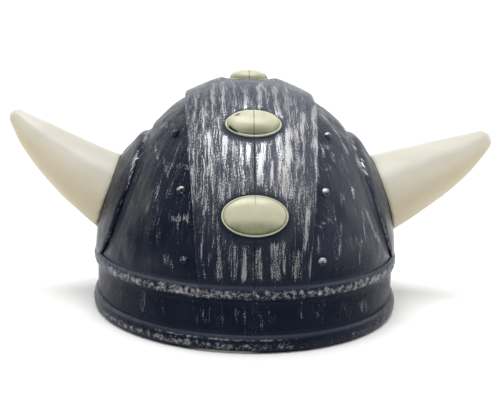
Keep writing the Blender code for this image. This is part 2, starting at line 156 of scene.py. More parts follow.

# Brush strokes of silver that stand out on the front, in the pixels of
# that frame: both ends of the stroke, its width and how densely it covers.
STROKES = [
    # x0, y0, x1, y1, width, cover
    (223.0, 84, 224.5, 120, 3.0, 0.66),
    (233.5, 85, 236.5, 104, 3.0, 0.66),
    (246.0, 86, 246.5, 104, 6.0, 0.62),
    (211.5, 90, 213.5, 117, 4.5, 0.58),
    (206.0, 90, 205.0, 124, 2.2, 0.62),
    (195.0, 96, 195.5, 103, 3.0, 0.55),
    (197.0, 112, 199.0, 127, 7.0, 0.50),
    (205.0, 134, 204.5, 172, 2.4, 0.80),
    (209.0, 133, 208.5, 174, 3.0, 0.90),
    (212.0, 134, 211.5, 160, 2.0, 0.80),
    (225.0, 138, 225.5, 157, 6.0, 0.90),
    (224.5, 158, 224.0, 182, 4.0, 0.70),
    (235.0, 146, 237.0, 162, 4.0, 0.70),
    (241.5, 147, 242.5, 162, 2.6, 0.86),
    (248.0, 146, 247.5, 164, 3.6, 0.74),
    (198.0, 174, 197.5, 200, 2.4, 0.66),
    (207.5, 172, 206.5, 212, 2.8, 0.60),
    (224.0, 182, 224.5, 203, 3.0, 0.64),
    (243.0, 162, 241.0, 192, 22.0, 0.52),
    (191.5, 145, 192.5, 161, 9.0, 0.54),
    (259.5, 86, 260.5, 106, 6.5, 0.74),
    (266.0, 87, 267.0, 105, 2.4, 0.62),
    (274.5, 88, 279.5, 117, 6.0, 0.74),
    (286.0, 86, 288.5, 127, 4.6, 0.62),
    (291.0, 89, 297.0, 112, 2.2, 0.58),
    (303.5, 114, 302.0, 128, 4.4, 0.70),
    (314.0, 108, 315.0, 144, 6.0, 0.76),
    (316.8, 142, 317.2, 182, 2.6, 0.78),
    (288.5, 130, 288.8, 164, 6.4, 1.06),
    (279.5, 136, 279.5, 170, 5.0, 0.82),
    (286.5, 166, 288.5, 197, 9.5, 0.89),
    (264.0, 144, 263.0, 160, 6.0, 0.92),
    (259.5, 158, 260.0, 183, 7.0, 0.92),
    (272.5, 162, 271.0, 186, 4.0, 0.86),
    (279.0, 175, 281.0, 192, 6.0, 0.66),
    (297.0, 126, 298.5, 168, 3.4, 0.88),
    (302.8, 122, 303.8, 172, 2.6, 0.90),
    (312.5, 144, 312.5, 156, 2.6, 0.66),
    (302.0, 164, 302.0, 198, 13.0, 0.55),
    (288.5, 196, 288.0, 220, 5.0, 0.62),
    (308.5, 204, 307.5, 215, 5.0, 0.62),
    (308.5, 212, 305.0, 250, 4.6, 0.84),
    (257.0, 252, 257.5, 281, 10.0, 0.66),
    (275.5, 246, 275.0, 280, 10.0, 0.64),
    (284.5, 242, 283.5, 271, 3.0, 0.84),
    (298.0, 252, 298.0, 280, 12.0, 0.56),
    (311.0, 252, 310.5, 278, 2.6, 0.66),
    (235.5, 250, 236.0, 280, 4.0, 0.66),
    (244.0, 249, 244.5, 282, 5.0, 0.74),
    (219.0, 250, 219.5, 281, 5.5, 0.74),
    (218.0, 224, 218.5, 250, 3.0, 0.60),
    (231.5, 249, 231.5, 277, 2.4, 0.56),
    (204.0, 212, 201.5, 246, 2.2, 0.62),
    (201.0, 246, 204.5, 278, 2.4, 0.70),
    (208.5, 200, 208.0, 213, 3.0, 0.56),
    # the panels beside the band
    (172.0, 218, 187.0, 219, 7.0, 0.58),
    (178.5, 223, 178.0, 243, 2.2, 0.58),
    (158.5, 222, 157.5, 242, 2.6, 0.46),
    (150.5, 238, 149.5, 262, 2.8, 0.46),
    (166.0, 256, 172.0, 268, 7.0, 0.44),
    (161.0, 125, 173.0, 125, 5.0, 0.50),
    (155.0, 144, 157.5, 157, 2.6, 0.54),
    (165.5, 160, 166.0, 174, 4.0, 0.48),
    (173.0, 166, 185.0, 166, 4.0, 0.44),
    (169.0, 178, 166.5, 198, 2.2, 0.54),
    (158.0, 188, 157.0, 210, 2.6, 0.48),
    (318.0, 237, 319.0, 252, 3.0, 0.56),
    (317.5, 226, 324.0, 223, 4.0, 0.66),
    (324.0, 223, 335.0, 220, 3.4, 0.58),
    (341.5, 224, 339.0, 256, 2.6, 0.72),
    (354.0, 240, 355.0, 246, 9.0, 0.46),
    (361.0, 239, 359.5, 263, 2.4, 0.56),
    (362.0, 208, 366.0, 242, 2.0, 0.58),
    (364.5, 208, 378.5, 242, 2.2, 0.78),
    (322.0, 145, 326.5, 146, 4.0, 0.72),
    (323.0, 146, 323.5, 156, 3.0, 0.72),
    (332.0, 145, 333.5, 158, 2.2, 0.56),
    (342.0, 156, 344.5, 169, 2.6, 0.58),
    (320.0, 169, 333.0, 169, 4.0, 0.50),
    (321.0, 112, 337.0, 134, 3.0, 0.64),
    (334.0, 126, 347.0, 152, 2.6, 0.60),
    (342.0, 194, 341.5, 202, 4.0, 0.46),
    (353.0, 190, 356.5, 214, 2.4, 0.56),
    (332.0, 150, 331.5, 160, 2.4, 0.48),
    # the side plates
    (145.0, 132, 142.0, 144, 3.0, 0.66),
    (137.0, 150, 126.5, 192, 3.4, 0.66),
    (351.0, 138, 360.0, 166, 3.4, 0.62),
    (361.5, 163, 366.5, 174, 4.5, 0.66),
    # short marks on the plain wall under the upper bead
    (203.0, 311, 203.5, 320, 2.6, 0.62),
    (195.0, 311, 195.5, 321, 2.4, 0.52),
    (210.0, 309, 210.5, 321, 2.0, 0.46),
    (222.0, 315, 223.0, 321, 3.0, 0.46),
    (236.0, 312, 237.0, 321, 5.0, 0.46),
    (246.0, 313, 245.0, 321, 3.0, 0.46),
    (261.0, 313, 261.5, 324, 5.0, 0.46),
    (273.0, 314, 274.0, 322, 4.0, 0.44),
    (143.0, 292, 142.0, 310, 4.0, 0.48),
    (163.0, 304, 164.0, 314, 3.0, 0.42),
    (301.0, 315, 302.0, 318, 3.0, 0.50),
    (317.0, 311, 318.0, 316, 3.0, 0.52),
    (345.0, 307, 347.0, 314, 3.0, 0.46),
    (362.0, 300, 366.0, 310, 9.0, 0.46),
]


# -------------------------------------------------------------------- helpers
def collection(name):
    found = bpy.data.collections.new(name)
    bpy.context.scene.collection.children.link(found)
    return found


def build(name, points, faces, home):
    """Mesh object from points in mm, its faces turned outwards."""
    mesh = bpy.data.meshes.new(name)
    mesh.from_pydata((np.asarray(points) * MM).tolist(), [], faces)
    shape = bmesh.new()
    shape.from_mesh(mesh)
    bmesh.ops.recalc_face_normals(shape, faces=shape.faces)
    shape.to_mesh(mesh)
    shape.free()
    obj = bpy.data.objects.new(name, mesh)
    home.objects.link(obj)
    return obj


def rings_to_faces(rings, around, first_cap=True, last_cap=True):
    """Faces of a stack of closed rings, each with the same number of points."""
    faces = []
    for i in range(rings - 1):
        for j in range(around):
            k = (j + 1) % around
            faces.append((i * around + j, i * around + k, (i + 1) * around + k, (i + 1) * around + j))
    if first_cap:
        faces.append(tuple(range(around)))
    if last_cap:
        faces.append(tuple(range((rings - 1) * around, rings * around)))
    return faces


def stack(name, rings, home, pole_first=None, pole_last=None):
    """Closed body from rings of points; a pole closes an end with a fan."""
    rings = np.asarray(rings, float)
    count, around = rings.shape[:2]
    points = rings.reshape(-1, 3)
    faces = rings_to_faces(count, around, pole_first is None, pole_last is None)
    extra = []
    if pole_first is not None:
        index = len(points) + len(extra)
        extra.append(pole_first)
        faces += [(index, j, (j + 1) % around) for j in range(around)]
    if pole_last is not None:
        index = len(points) + len(extra)
        extra.append(pole_last)
        base = (count - 1) * around
        faces += [(index, base + (j + 1) % around, base + j) for j in range(around)]
    if extra:
        points = np.vstack([points, extra])
    return build(name, points, faces, home)


def combine(obj, other, operation, solver="MANIFOLD", transfer=False):
    step = obj.modifiers.new(operation.lower(), "BOOLEAN")
    step.operation = operation
    step.solver = solver
    step.object = other
    if transfer:
        step.material_mode = "TRANSFER"
    bpy.context.view_layer.update()
    graph = bpy.context.evaluated_depsgraph_get()
    mesh = bpy.data.meshes.new_from_object(obj.evaluated_get(graph))
    obj.modifiers.clear()
    obj.data = mesh
    bpy.data.objects.remove(other, do_unlink=True)
    return obj


def smooth(low, high, value):
    t = np.clip((value - low) / (high - low), 0.0, 1.0)
    return t * t * (3.0 - 2.0 * t)


def waver(points, sizes, seed=0.0):
    """Smooth noise from -1 to 1 at each point; sizes are mm of one bump along
    each axis."""
    scaled = np.asarray(points, float) / np.asarray(sizes, float) + seed
    return np.array([noise.noise(Vector(p)) for p in scaled.reshape(-1, 3)]).reshape(scaled.shape[:-1])


# -------------------------------------------------------- forms of the crown
class Form:
    """The dome grown outwards by so much at its foot and its top."""

    def __init__(self, raise_foot=0.0, raise_top=0.0):
        self.a = BROW_HALF + raise_foot
        self.b = BROW_HALF * DEPTH_RATIO + raise_foot
        self.c = DOME_RISE + raise_top

    def at(self, x, t):
        """Point at a given x and angle from the front foot (0) over the top."""
        s = np.sqrt(np.maximum(0.0, 1.0 - (x / self.a) ** 2))
        return np.stack([x, -self.b * s * np.cos(t), DOME_FOOT + self.c * s * np.sin(t)], -1)

    def outward(self, p):
        h = np.maximum(p[..., 2] - DOME_FOOT, 0.0)
        n = np.stack([p[..., 0] / self.a**2, p[..., 1] / self.b**2, h / self.c**2], -1)
        return n / np.linalg.norm(n, axis=-1, keepdims=True)

    def above(self, p):
        """Rough distance of points outside this form, in mm."""
        h = np.maximum(p[..., 2] - DOME_FOOT, 0.0)
        g = np.stack([p[..., 0] / self.a**2, p[..., 1] / self.b**2, h / self.c**2], -1)
        f = np.sqrt((p[..., 0] / self.a) ** 2 + (p[..., 1] / self.b) ** 2 + (h / self.c) ** 2)
        return (f - 1.0) * f / np.maximum(np.linalg.norm(g, axis=-1), 1e-9)

    def along(self, start, direction):
        """Where a line from inside leaves the form, upright below its foot."""
        scale = np.array([1 / self.a, 1 / self.b, 1 / self.c])
        o = (start - np.array([0, 0, DOME_FOOT])) * scale
        d = direction * scale
        qa = (d * d).sum(-1)
        qb = 2 * (o * d).sum(-1)
        qc = (o * o).sum(-1) - 1
        k = (-qb + np.sqrt(np.maximum(qb**2 - 4 * qa * qc, 0))) / (2 * qa)
        p = start + direction * k[..., None]
        o2, d2 = o[..., :2], d[..., :2] + 0 * o[..., :2]
        qa = (d2 * d2).sum(-1)
        qb = 2 * (o2 * d2).sum(-1)
        qc = (o2 * o2).sum(-1) - 1
        k2 = (-qb + np.sqrt(np.maximum(qb**2 - 4 * qa * qc, 0))) / (2 * qa)
        low = start + direction * k2[..., None]
        return np.where((p[..., 2] < DOME_FOOT)[..., None], low, p)


DOME = Form()


def band_half(z):
    table = np.array(BAND_EDGE)
    return np.interp(z, table[:, 0], table[:, 1])


def band_place(angle):
    form = Form(BAND_RAISE_FOOT, BAND_RAISE_TOP)
    t = math.radians(angle)
    place = form.at(np.array(0.0), np.array(t))
    normal = form.outward(place)
    along = -np.cross(np.array([1.0, 0.0, 0.0]), normal)
    return place, normal, along


def seat_place(side):
    tilt = math.radians(SEAT_TILT)
    centre = np.array([side * SEAT_OUT, 0.0, SEAT_UP])
    facing = np.array([side * math.cos(tilt), 0.0, math.sin(tilt)])
    up = np.array([-side * math.sin(tilt), 0.0, math.cos(tilt)])
    return centre, facing, up, np.cross(up, facing)


def plate_distance(points, side):
    """How far inside a plate's outline, in mm, and the height along the plate."""
    centre, facing, up, across = seat_place(side)
    rel = points - centre
    u, v = rel @ across, rel @ up - PLATE_LIFT
    power = PLATE_SQUARENESS
    rho = (np.abs(u / PLATE_HALF_WIDTH) ** power + np.abs(v / PLATE_HALF_HEIGHT) ** power) ** (1 / power)
    return (1 - rho) * np.hypot(u, v) / np.maximum(rho, 1e-6), v


def oval_distance(points, angle, half_width, half_height):
    """Distance outside a stud's oval, and height over its frame, in mm."""
    place, normal, along = band_place(angle)
    rel = points - place
    u, v, w = rel[..., 0], rel @ along, rel @ normal
    rho = np.sqrt((u / half_width) ** 2 + (v / half_height) ** 2)
    size = np.sqrt(u**2 + v**2) / np.maximum(rho, 1e-6)
    d = (rho - 1.0) * size
    return np.where(w < -40.0, 999.0, d), w


def crown_body(home):
    """The outside of the crown without band and plates, solid."""
    rows = []
    last = math.acos((BEADS["upper"][1] + BEADS["upper"][2] - DOME_FOOT) / DOME_RISE)
    for i in range(1, 96):
        a = last * i / 96
        rows.append((BROW_HALF * math.sin(a), DOME_FOOT + DOME_RISE * math.cos(a)))
    for name in ("upper", "lower"):
        crest, middle, half = BEADS[name]
        for i in range(19):
            a = math.pi * i / 18
            foot = BROW_HALF if name == "upper" and i < 9 else BROW_WALL
            r = foot + (crest - foot) * math.sin(a) ** 0.8
            rows.append((r, middle + half * math.cos(a)))
        if name == "upper":
            top, low = BEADS["upper"][1] - BEADS["upper"][2], BEADS["lower"][1] + BEADS["lower"][2]
            rows += [(BROW_WALL, top + (low - top) * i / 12) for i in range(1, 12)]
    rows[-1] = (RIM_FLAT, 0.0)
    rows.append((90.0, 0.0))
    rows = np.array(rows)
    around = 400
    turn = np.linspace(0, 2 * math.pi, around, endpoint=False)
    p = np.stack(
        [
            rows[:, :1] * np.cos(turn),
            rows[:, :1] * np.sin(turn) * DEPTH_RATIO,
            rows[:, 1:] + 0 * turn,
        ],
        -1,
    )
    # soft dents all over the dome, finer lumps along the beads
    n = DOME.outward(p)
    z = p[..., 2]
    dome = smooth(39.0, 44.0, z)
    dents = 0.52 * waver(p, (11, 11, 19)) + 0.20 * waver(p, (5, 5, 8), 7.3)
    lumps = 0.26 * waver(p, (3.6, 3.6, 3.0), 3.1) + 0.20 * waver(p, (9, 9, 6), 1.7)
    wall = 0.10 * waver(p, (11, 11, 15), 5.5)
    radius = np.hypot(p[..., 0], p[..., 1] / DEPTH_RATIO)
    bead = smooth(98.3, 100.0, radius) * (z < 39.0)
    valley = np.zeros(z.shape)
    for side in (-1.0, 1.0):
        d, v = plate_distance(p, side)
        depth = np.interp(v, [-40, -10, 20, 42], [0.5, 0.9, 1.4, 1.5])
        valley = np.maximum(valley, depth * np.exp(-(((d + 2.6) / 2.8) ** 2)) * (p[..., 0] * side > 20.0))
    dents = dents - valley
    out = np.where(z > 38.5, dents * dome, lumps * bead + wall * (1 - bead) * (z > 11) * (z < 29))
    p = p + n * out[..., None]
    return stack("crown_painted", p, home, (0, 0, DOME_FOOT + DOME_RISE), (0, 0, 0))


def band_rings(form, inset, t0, t1, stations, columns, edge, deep, fine):
    """Closed cross sections of the band, one for each station over the top."""
    rings = []
    half_columns = [0.0]
    for t in np.linspace(t0, t1, stations):
        w = 38.0
        for _ in range(14):
            z = DOME_FOOT + form.c * math.sqrt(1 - (w / form.a) ** 2) * math.sin(t)
            w = float(band_half(z)) - inset
        if fine:
            depth = 1.0 - 0.80 * float(smooth(0.848, 0.915, math.sin(t)))
            xs = [0.0, 0.22, 0.45, 0.75]
            drops = [0.42 * depth, 0.34 * depth, 0.10 * depth, 0.0]
        else:
            xs, drops = [0.0], [0.0]
        start = xs[-1]
        for i in range(1, columns + 1):
            xs.append(start + (w - edge - start) * i / columns)
            drops.append(0.0)
        if edge > 0:
            for a in (18, 36, 54, 72, 90):
                r = math.radians(a)
                xs.append(w - edge + edge * math.sin(r))
                drops.append(edge * (1 - math.cos(r)))
        for k in (0.35, 0.7, 1.0):
            xs.append(w + (0.35 if edge > 0 else 0.0) * k)
            drops.append(edge + (deep - edge) * k)
        xs, drops = np.array(xs), np.array(drops)
        right = form.at(np.minimum(xs, w), np.full(len(xs), t))
        normal = form.outward(right)
        right = right - normal * drops[:, None]
        right[:, 0] += np.maximum(xs - w, 0.0)
        left = right * np.array([-1.0, 1.0, 1.0])
        rings.append(np.vstack([left[:0:-1], right]))
    return np.array(rings)


def band_solid(name, home):
    """The raised band: rounded edges, a fine parting groove along its middle,
    soft lengthwise ridges, and a dish round each stud."""
    form = Form(BAND_RAISE_FOOT, BAND_RAISE_TOP)
    p = band_rings(form, 0.0, math.radians(0.6), math.radians(179.4), 236, 38, 1.5, 9.0, True)
    n = form.outward(p)
    lengthwise = np.arctan2((p[..., 2] - DOME_FOOT) / form.c, -p[..., 1] / form.b) * 114.0
    flow = np.stack([p[..., 0], lengthwise, 0 * lengthwise], -1)
    ridges = 0.13 * waver(flow, (3.4, 42, 1), 2.2) + 0.05 * waver(flow, (2.1, 17, 1), 9.2)
    dents = 0.22 * waver(p, (15, 15, 19), 4.4)
    middle = smooth(0.0, 1.4, np.abs(p[..., 0]))
    height = form.above(p)
    p = p + n * ((ridges * middle + dents) * smooth(-3.0, -1.0, height))[..., None]
    place, normal, along = band_place(STUDS[2][1])
    beside = np.abs(p[..., 0]) - 17.4
    beside = np.exp(-((beside / np.where(beside < 0, 2.4, 10.0)) ** 2) - (((p - place) @ along) / 13.0) ** 2)
    p = p + n * (1.35 * beside * (height > -3.0))[..., None]
    for _, angle, half_width, half_height, _ in STUDS:
        place, normal, along = band_place(angle)
        d, w = oval_distance(p, angle, half_width, half_height)
        weight = (1.0 - smooth(0.8, 3.0 if 85 < angle < 95 else 5.2, d)) * (height > -3.0)
        p = p + normal * (np.minimum(0.0, -SEAT_DEPTH - w) * weight)[..., None]
    return stack(name, p, home)


def plate_outline(angles, inset=0.0):
    power = 2.0 / PLATE_SQUARENESS
    c, s = np.cos(angles), np.sin(angles)
    x = (PLATE_HALF_WIDTH - inset) * np.sign(c) * np.abs(c) ** power
    y = (PLATE_HALF_HEIGHT - inset) * np.sign(s) * np.abs(s) ** power
    return x, y


def plate_solid(name, side, form, inset, edge, deep, around, rings, home, dents=0.0):
    centre, facing, up, across = seat_place(side)
    angles = np.linspace(0, 2 * math.pi, around, endpoint=False)
    ox, oy = plate_outline(angles, inset)
    size = np.hypot(ox, oy)
    stack_rings = []
    # the shoulder is soft along the top and tight along the foot
    wide = np.interp(oy, [-40, 0, 40], [1.8, 3.2, 5.4]) * edge
    fall = np.interp(oy, [-40, 0, 40], [1.1, 1.5, 2.6]) * edge
    stack_rings = [((i / rings) * (1 - wide / size), 0.0 * oy) for i in range(1, rings)]
    if edge > 0:
        for a in (0, 11, 22, 33, 44, 55, 66, 78, 90):
            r = math.radians(a)
            stack_rings.append((1 - wide * (1 - math.sin(r)) / size, fall * (1 - math.cos(r))))
    else:
        stack_rings.append((np.ones(around), 0.0 * oy))
    stack_rings += [(1 + 0.25 * k * (edge > 0) / size, fall + (deep - fall) * k) for k in (0.4, 0.7, 1.0)]
    result = []
    for share, drop in stack_rings:
        start = centre + across * (ox * share)[:, None] + up * (oy * share + PLATE_LIFT)[:, None] - facing * 60.0
        p = form.along(start, facing)
        n = form.outward(p)
        result.append(p - n * drop[:, None])
    result = np.array(result)
    if dents:
        n = form.outward(result)
        wave = 0.50 * waver(result, (11, 12, 19), 8.1) + 0.18 * waver(result, (5, 6, 9), 6.6)
        result = result + n * (dents * wave * smooth(-3.0, -1.0, form.above(result)))[..., None]
    middle = form.along(centre + up * PLATE_LIFT - facing * 60.0, facing)
    inner = middle - facing * deep
    return stack(name, result, home, middle, inner)


def rivet_solid(out, z, behind, home):
    h = z - DOME_FOOT
    y = DOME.b * math.sqrt(1 - (out / DOME.a) ** 2 - (h / DOME.c) ** 2)
    place = np.array([out, y if behind else -y, z])
    normal = Vector(DOME.outward(place))
    shape = bmesh.new()
    bmesh.ops.create_uvsphere(shape, u_segments=20, v_segments=14, radius=1.0)
    for v in shape.verts:
        lump = 1.0 + 0.10 * noise.noise(v.co * 1.6 + Vector(place) * 0.37)
        v.co = Vector((v.co.x * RIVET_RADIUS, v.co.y * RIVET_RADIUS, v.co.z * RIVET_HEIGHT)) * lump
    mesh = bpy.data.meshes.new("rivet")
    shape.to_mesh(mesh)
    shape.free()
    turn = normal.to_track_quat("Z", "Y").to_matrix().to_4x4()
    mesh.transform(Matrix.Translation(Vector(place)) @ turn)
    mesh.transform(Matrix.Scale(MM, 4))
    obj = bpy.data.objects.new("rivet", mesh)
    home.objects.link(obj)
    return obj


def oval_body(name, profile, half_width, half_height, angle, depth, steps, home):
    """A turned profile whose radii are growths of a stud's oval, set on the band."""
    place, normal, along = band_place(angle)
    place = place - normal * depth
    turn = np.linspace(0, 2 * math.pi, steps, endpoint=False)
    rings = []
    for r, z in profile:
        if r >= -2.6:
            u, v = half_width + r, half_height + r
        else:
            share = (half_height + r) / (half_height - 2.6)
            u, v = (half_width - 2.6) * share, (half_height - 2.6) * share
        ring = (
            place
            + np.cos(turn)[:, None] * u * np.array([1.0, 0.0, 0.0])
            + np.sin(turn)[:, None] * v * along
            + normal * z
        )
        rings.append(ring)
    top, low = profile[0][1], profile[-1][1]
    return stack(name, rings, home, place + normal * top, place + normal * low)


def cylinder(name, radius, start, end, home, segments=64):
    start, end = Vector(start) * MM, Vector(end) * MM
    shape = bmesh.new()
    bmesh.ops.create_cone(
        shape, cap_ends=True, segments=segments, radius1=radius * MM, radius2=radius * MM, depth=(end - start).length
    )
    mesh = bpy.data.meshes.new(name)
    shape.to_mesh(mesh)
    shape.free()
    turn = (end - start).to_track_quat("Z", "Y").to_matrix().to_4x4()
    mesh.transform(Matrix.Translation((start + end) / 2.0) @ turn)
    obj = bpy.data.objects.new(name, mesh)
    home.objects.link(obj)
    return obj


def dome_solid(name, form, rows, around, lowest, home):
    rings = []
    turn = np.linspace(0, 2 * math.pi, around, endpoint=False)
    for i in range(1, rows + 1):
        a = 0.5 * math.pi * i / rows
        rings.append((math.sin(a), DOME_FOOT + form.c * math.cos(a)))
    rings.append((1.0, lowest))
    p = [
        np.stack([form.a * s * np.cos(turn), form.b * s * np.sin(turn), np.full(around, z)], -1)
        for s, z in rings
    ]
    return stack(name, p, home, (0, 0, DOME_FOOT + form.c), (0, 0, lowest))


def build_crown(home, paint, bare):
    crown = crown_body(home)
    crown.data.materials.append(paint)
    combine(crown, band_solid("band", home), "UNION")
    for side in (-1.0, 1.0):
        form = Form(PLATE_RAISE_FOOT, PLATE_RAISE_TOP)
        combine(crown, plate_solid("plate", side, form, 0.0, 1.0, 8.0, 220, 31, home, 1.0), "UNION")
    for out, z in RIVETS:
        for side in (-1.0, 1.0):
            for behind in (False, True):
                combine(crown, rivet_solid(side * out, z, behind, home), "UNION")

    # the hollow follows the outside, with a thicker pad behind each stud
    hollow = dome_solid("hollow", Form(-WALL, -WALL), 48, 200, -6.0, home)
    form = Form(BAND_RAISE_FOOT - WALL, BAND_RAISE_TOP - WALL)
    groove = stack("groove", band_rings(form, WALL, math.radians(4.0), math.radians(176.0), 120, 14, 0.0, 6.0, False), home)
    for _, angle, half_width, half_height, _ in STUDS:
        pad = [(-half_height * 0.5, 4.0), (SEAT_RIM, 4.0), (SEAT_RIM, -9.0), (-half_height * 0.5, -9.0)]
        combine(groove, oval_body("pad", pad, half_width, half_height, angle, 0.0, 72, home), "DIFFERENCE")
    combine(hollow, groove, "UNION")
    for side in (-1.0, 1.0):
        form = Form(PLATE_RAISE_FOOT - WALL, PLATE_RAISE_TOP - WALL)
        combine(hollow, plate_solid("dish", side, form, WALL, 0.0, 6.0, 120, 14, home), "UNION")
    hollow.data.materials.clear()
    hollow.data.materials.append(bare)
    combine(crown, hollow, "DIFFERENCE", transfer=True)
    for side in (-1.0, 1.0):
        centre, facing, _, _ = seat_place(side)
        hole = cylinder("peg_hole", PEG_RADIUS + GAP, centre - facing * 20.0, centre + facing * 20.0, home)
        combine(crown, hole, "DIFFERENCE")
    return crown


# ------------------------------------------------------------------- the paint
def vertex_data(mesh):
    co = np.empty(len(mesh.vertices) * 3)
    mesh.vertices.foreach_get("co", co)
    normals = np.empty(len(mesh.vertices) * 3)
    mesh.vertex_normals.foreach_get("vector", normals)
    return co.reshape(-1, 3) / MM, normals.reshape(-1, 3)


def store(mesh, name, values):
    if values.ndim == 2:
        layer = mesh.attributes.new(name, "FLOAT_VECTOR", "POINT")
        layer.data.foreach_set("vector", values.astype(np.float32).ravel())
    else:
        layer = mesh.attributes.new(name, "FLOAT", "POINT")
        layer.data.foreach_set("value", values.astype(np.float32))


def in_frame(p):
    q = (p - EYE) @ np.stack([RIGHT, UP, BACK], 1)
    return FRAME_W / 2 + FOCAL * q[:, 0] / -q[:, 2], FRAME_H / 2 - FOCAL * q[:, 1] / -q[:, 2]


def stroke_cover(x, y, strokes, fade=3.0):
    """How densely the strokes cover each place; they fade out past their ends."""
    best = np.zeros(len(x))
    for x0, y0, x1, y1, width, cover in strokes:
        dx, dy = x1 - x0, y1 - y0
        length = math.hypot(dx, dy)
        near = (
            (x > min(x0, x1) - width) & (x < max(x0, x1) + width)
            & (y > min(y0, y1) - width) & (y < max(y0, y1) + width)
        )
        px, py = x[near] - x0, y[near] - y0
        t = (px * dx + py * dy) / length
        side = np.abs(px * dy - py * dx) / length
        over = np.maximum(np.maximum(-t, t - length), 0.0)
        value = cover * (1 - smooth(width * 0.5 - 0.9, width * 0.5 + 1.1, side)) * (1 - smooth(0.0, fade, over))
        best[near] = np.maximum(best[near], value)
    return best


def loose_strokes(seed, count, across, lengthwise):
    """Strokes like the charted ones, for the sides that the chart doesn't reach."""
    pick = random.Random(seed)
    rows = []
    for _ in range(count):
        u = pick.uniform(*across)
        v = pick.uniform(*lengthwise)
        length = pick.uniform(12.0, 34.0)
        lean = pick.uniform(-1.2, 1.2)
        rows.append((u, v, u + lean, v + length, pick.choice((1.8, 2.2, 2.8, 3.6, 5.0, 7.0)), pick.uniform(0.5, 0.92)))
    return rows


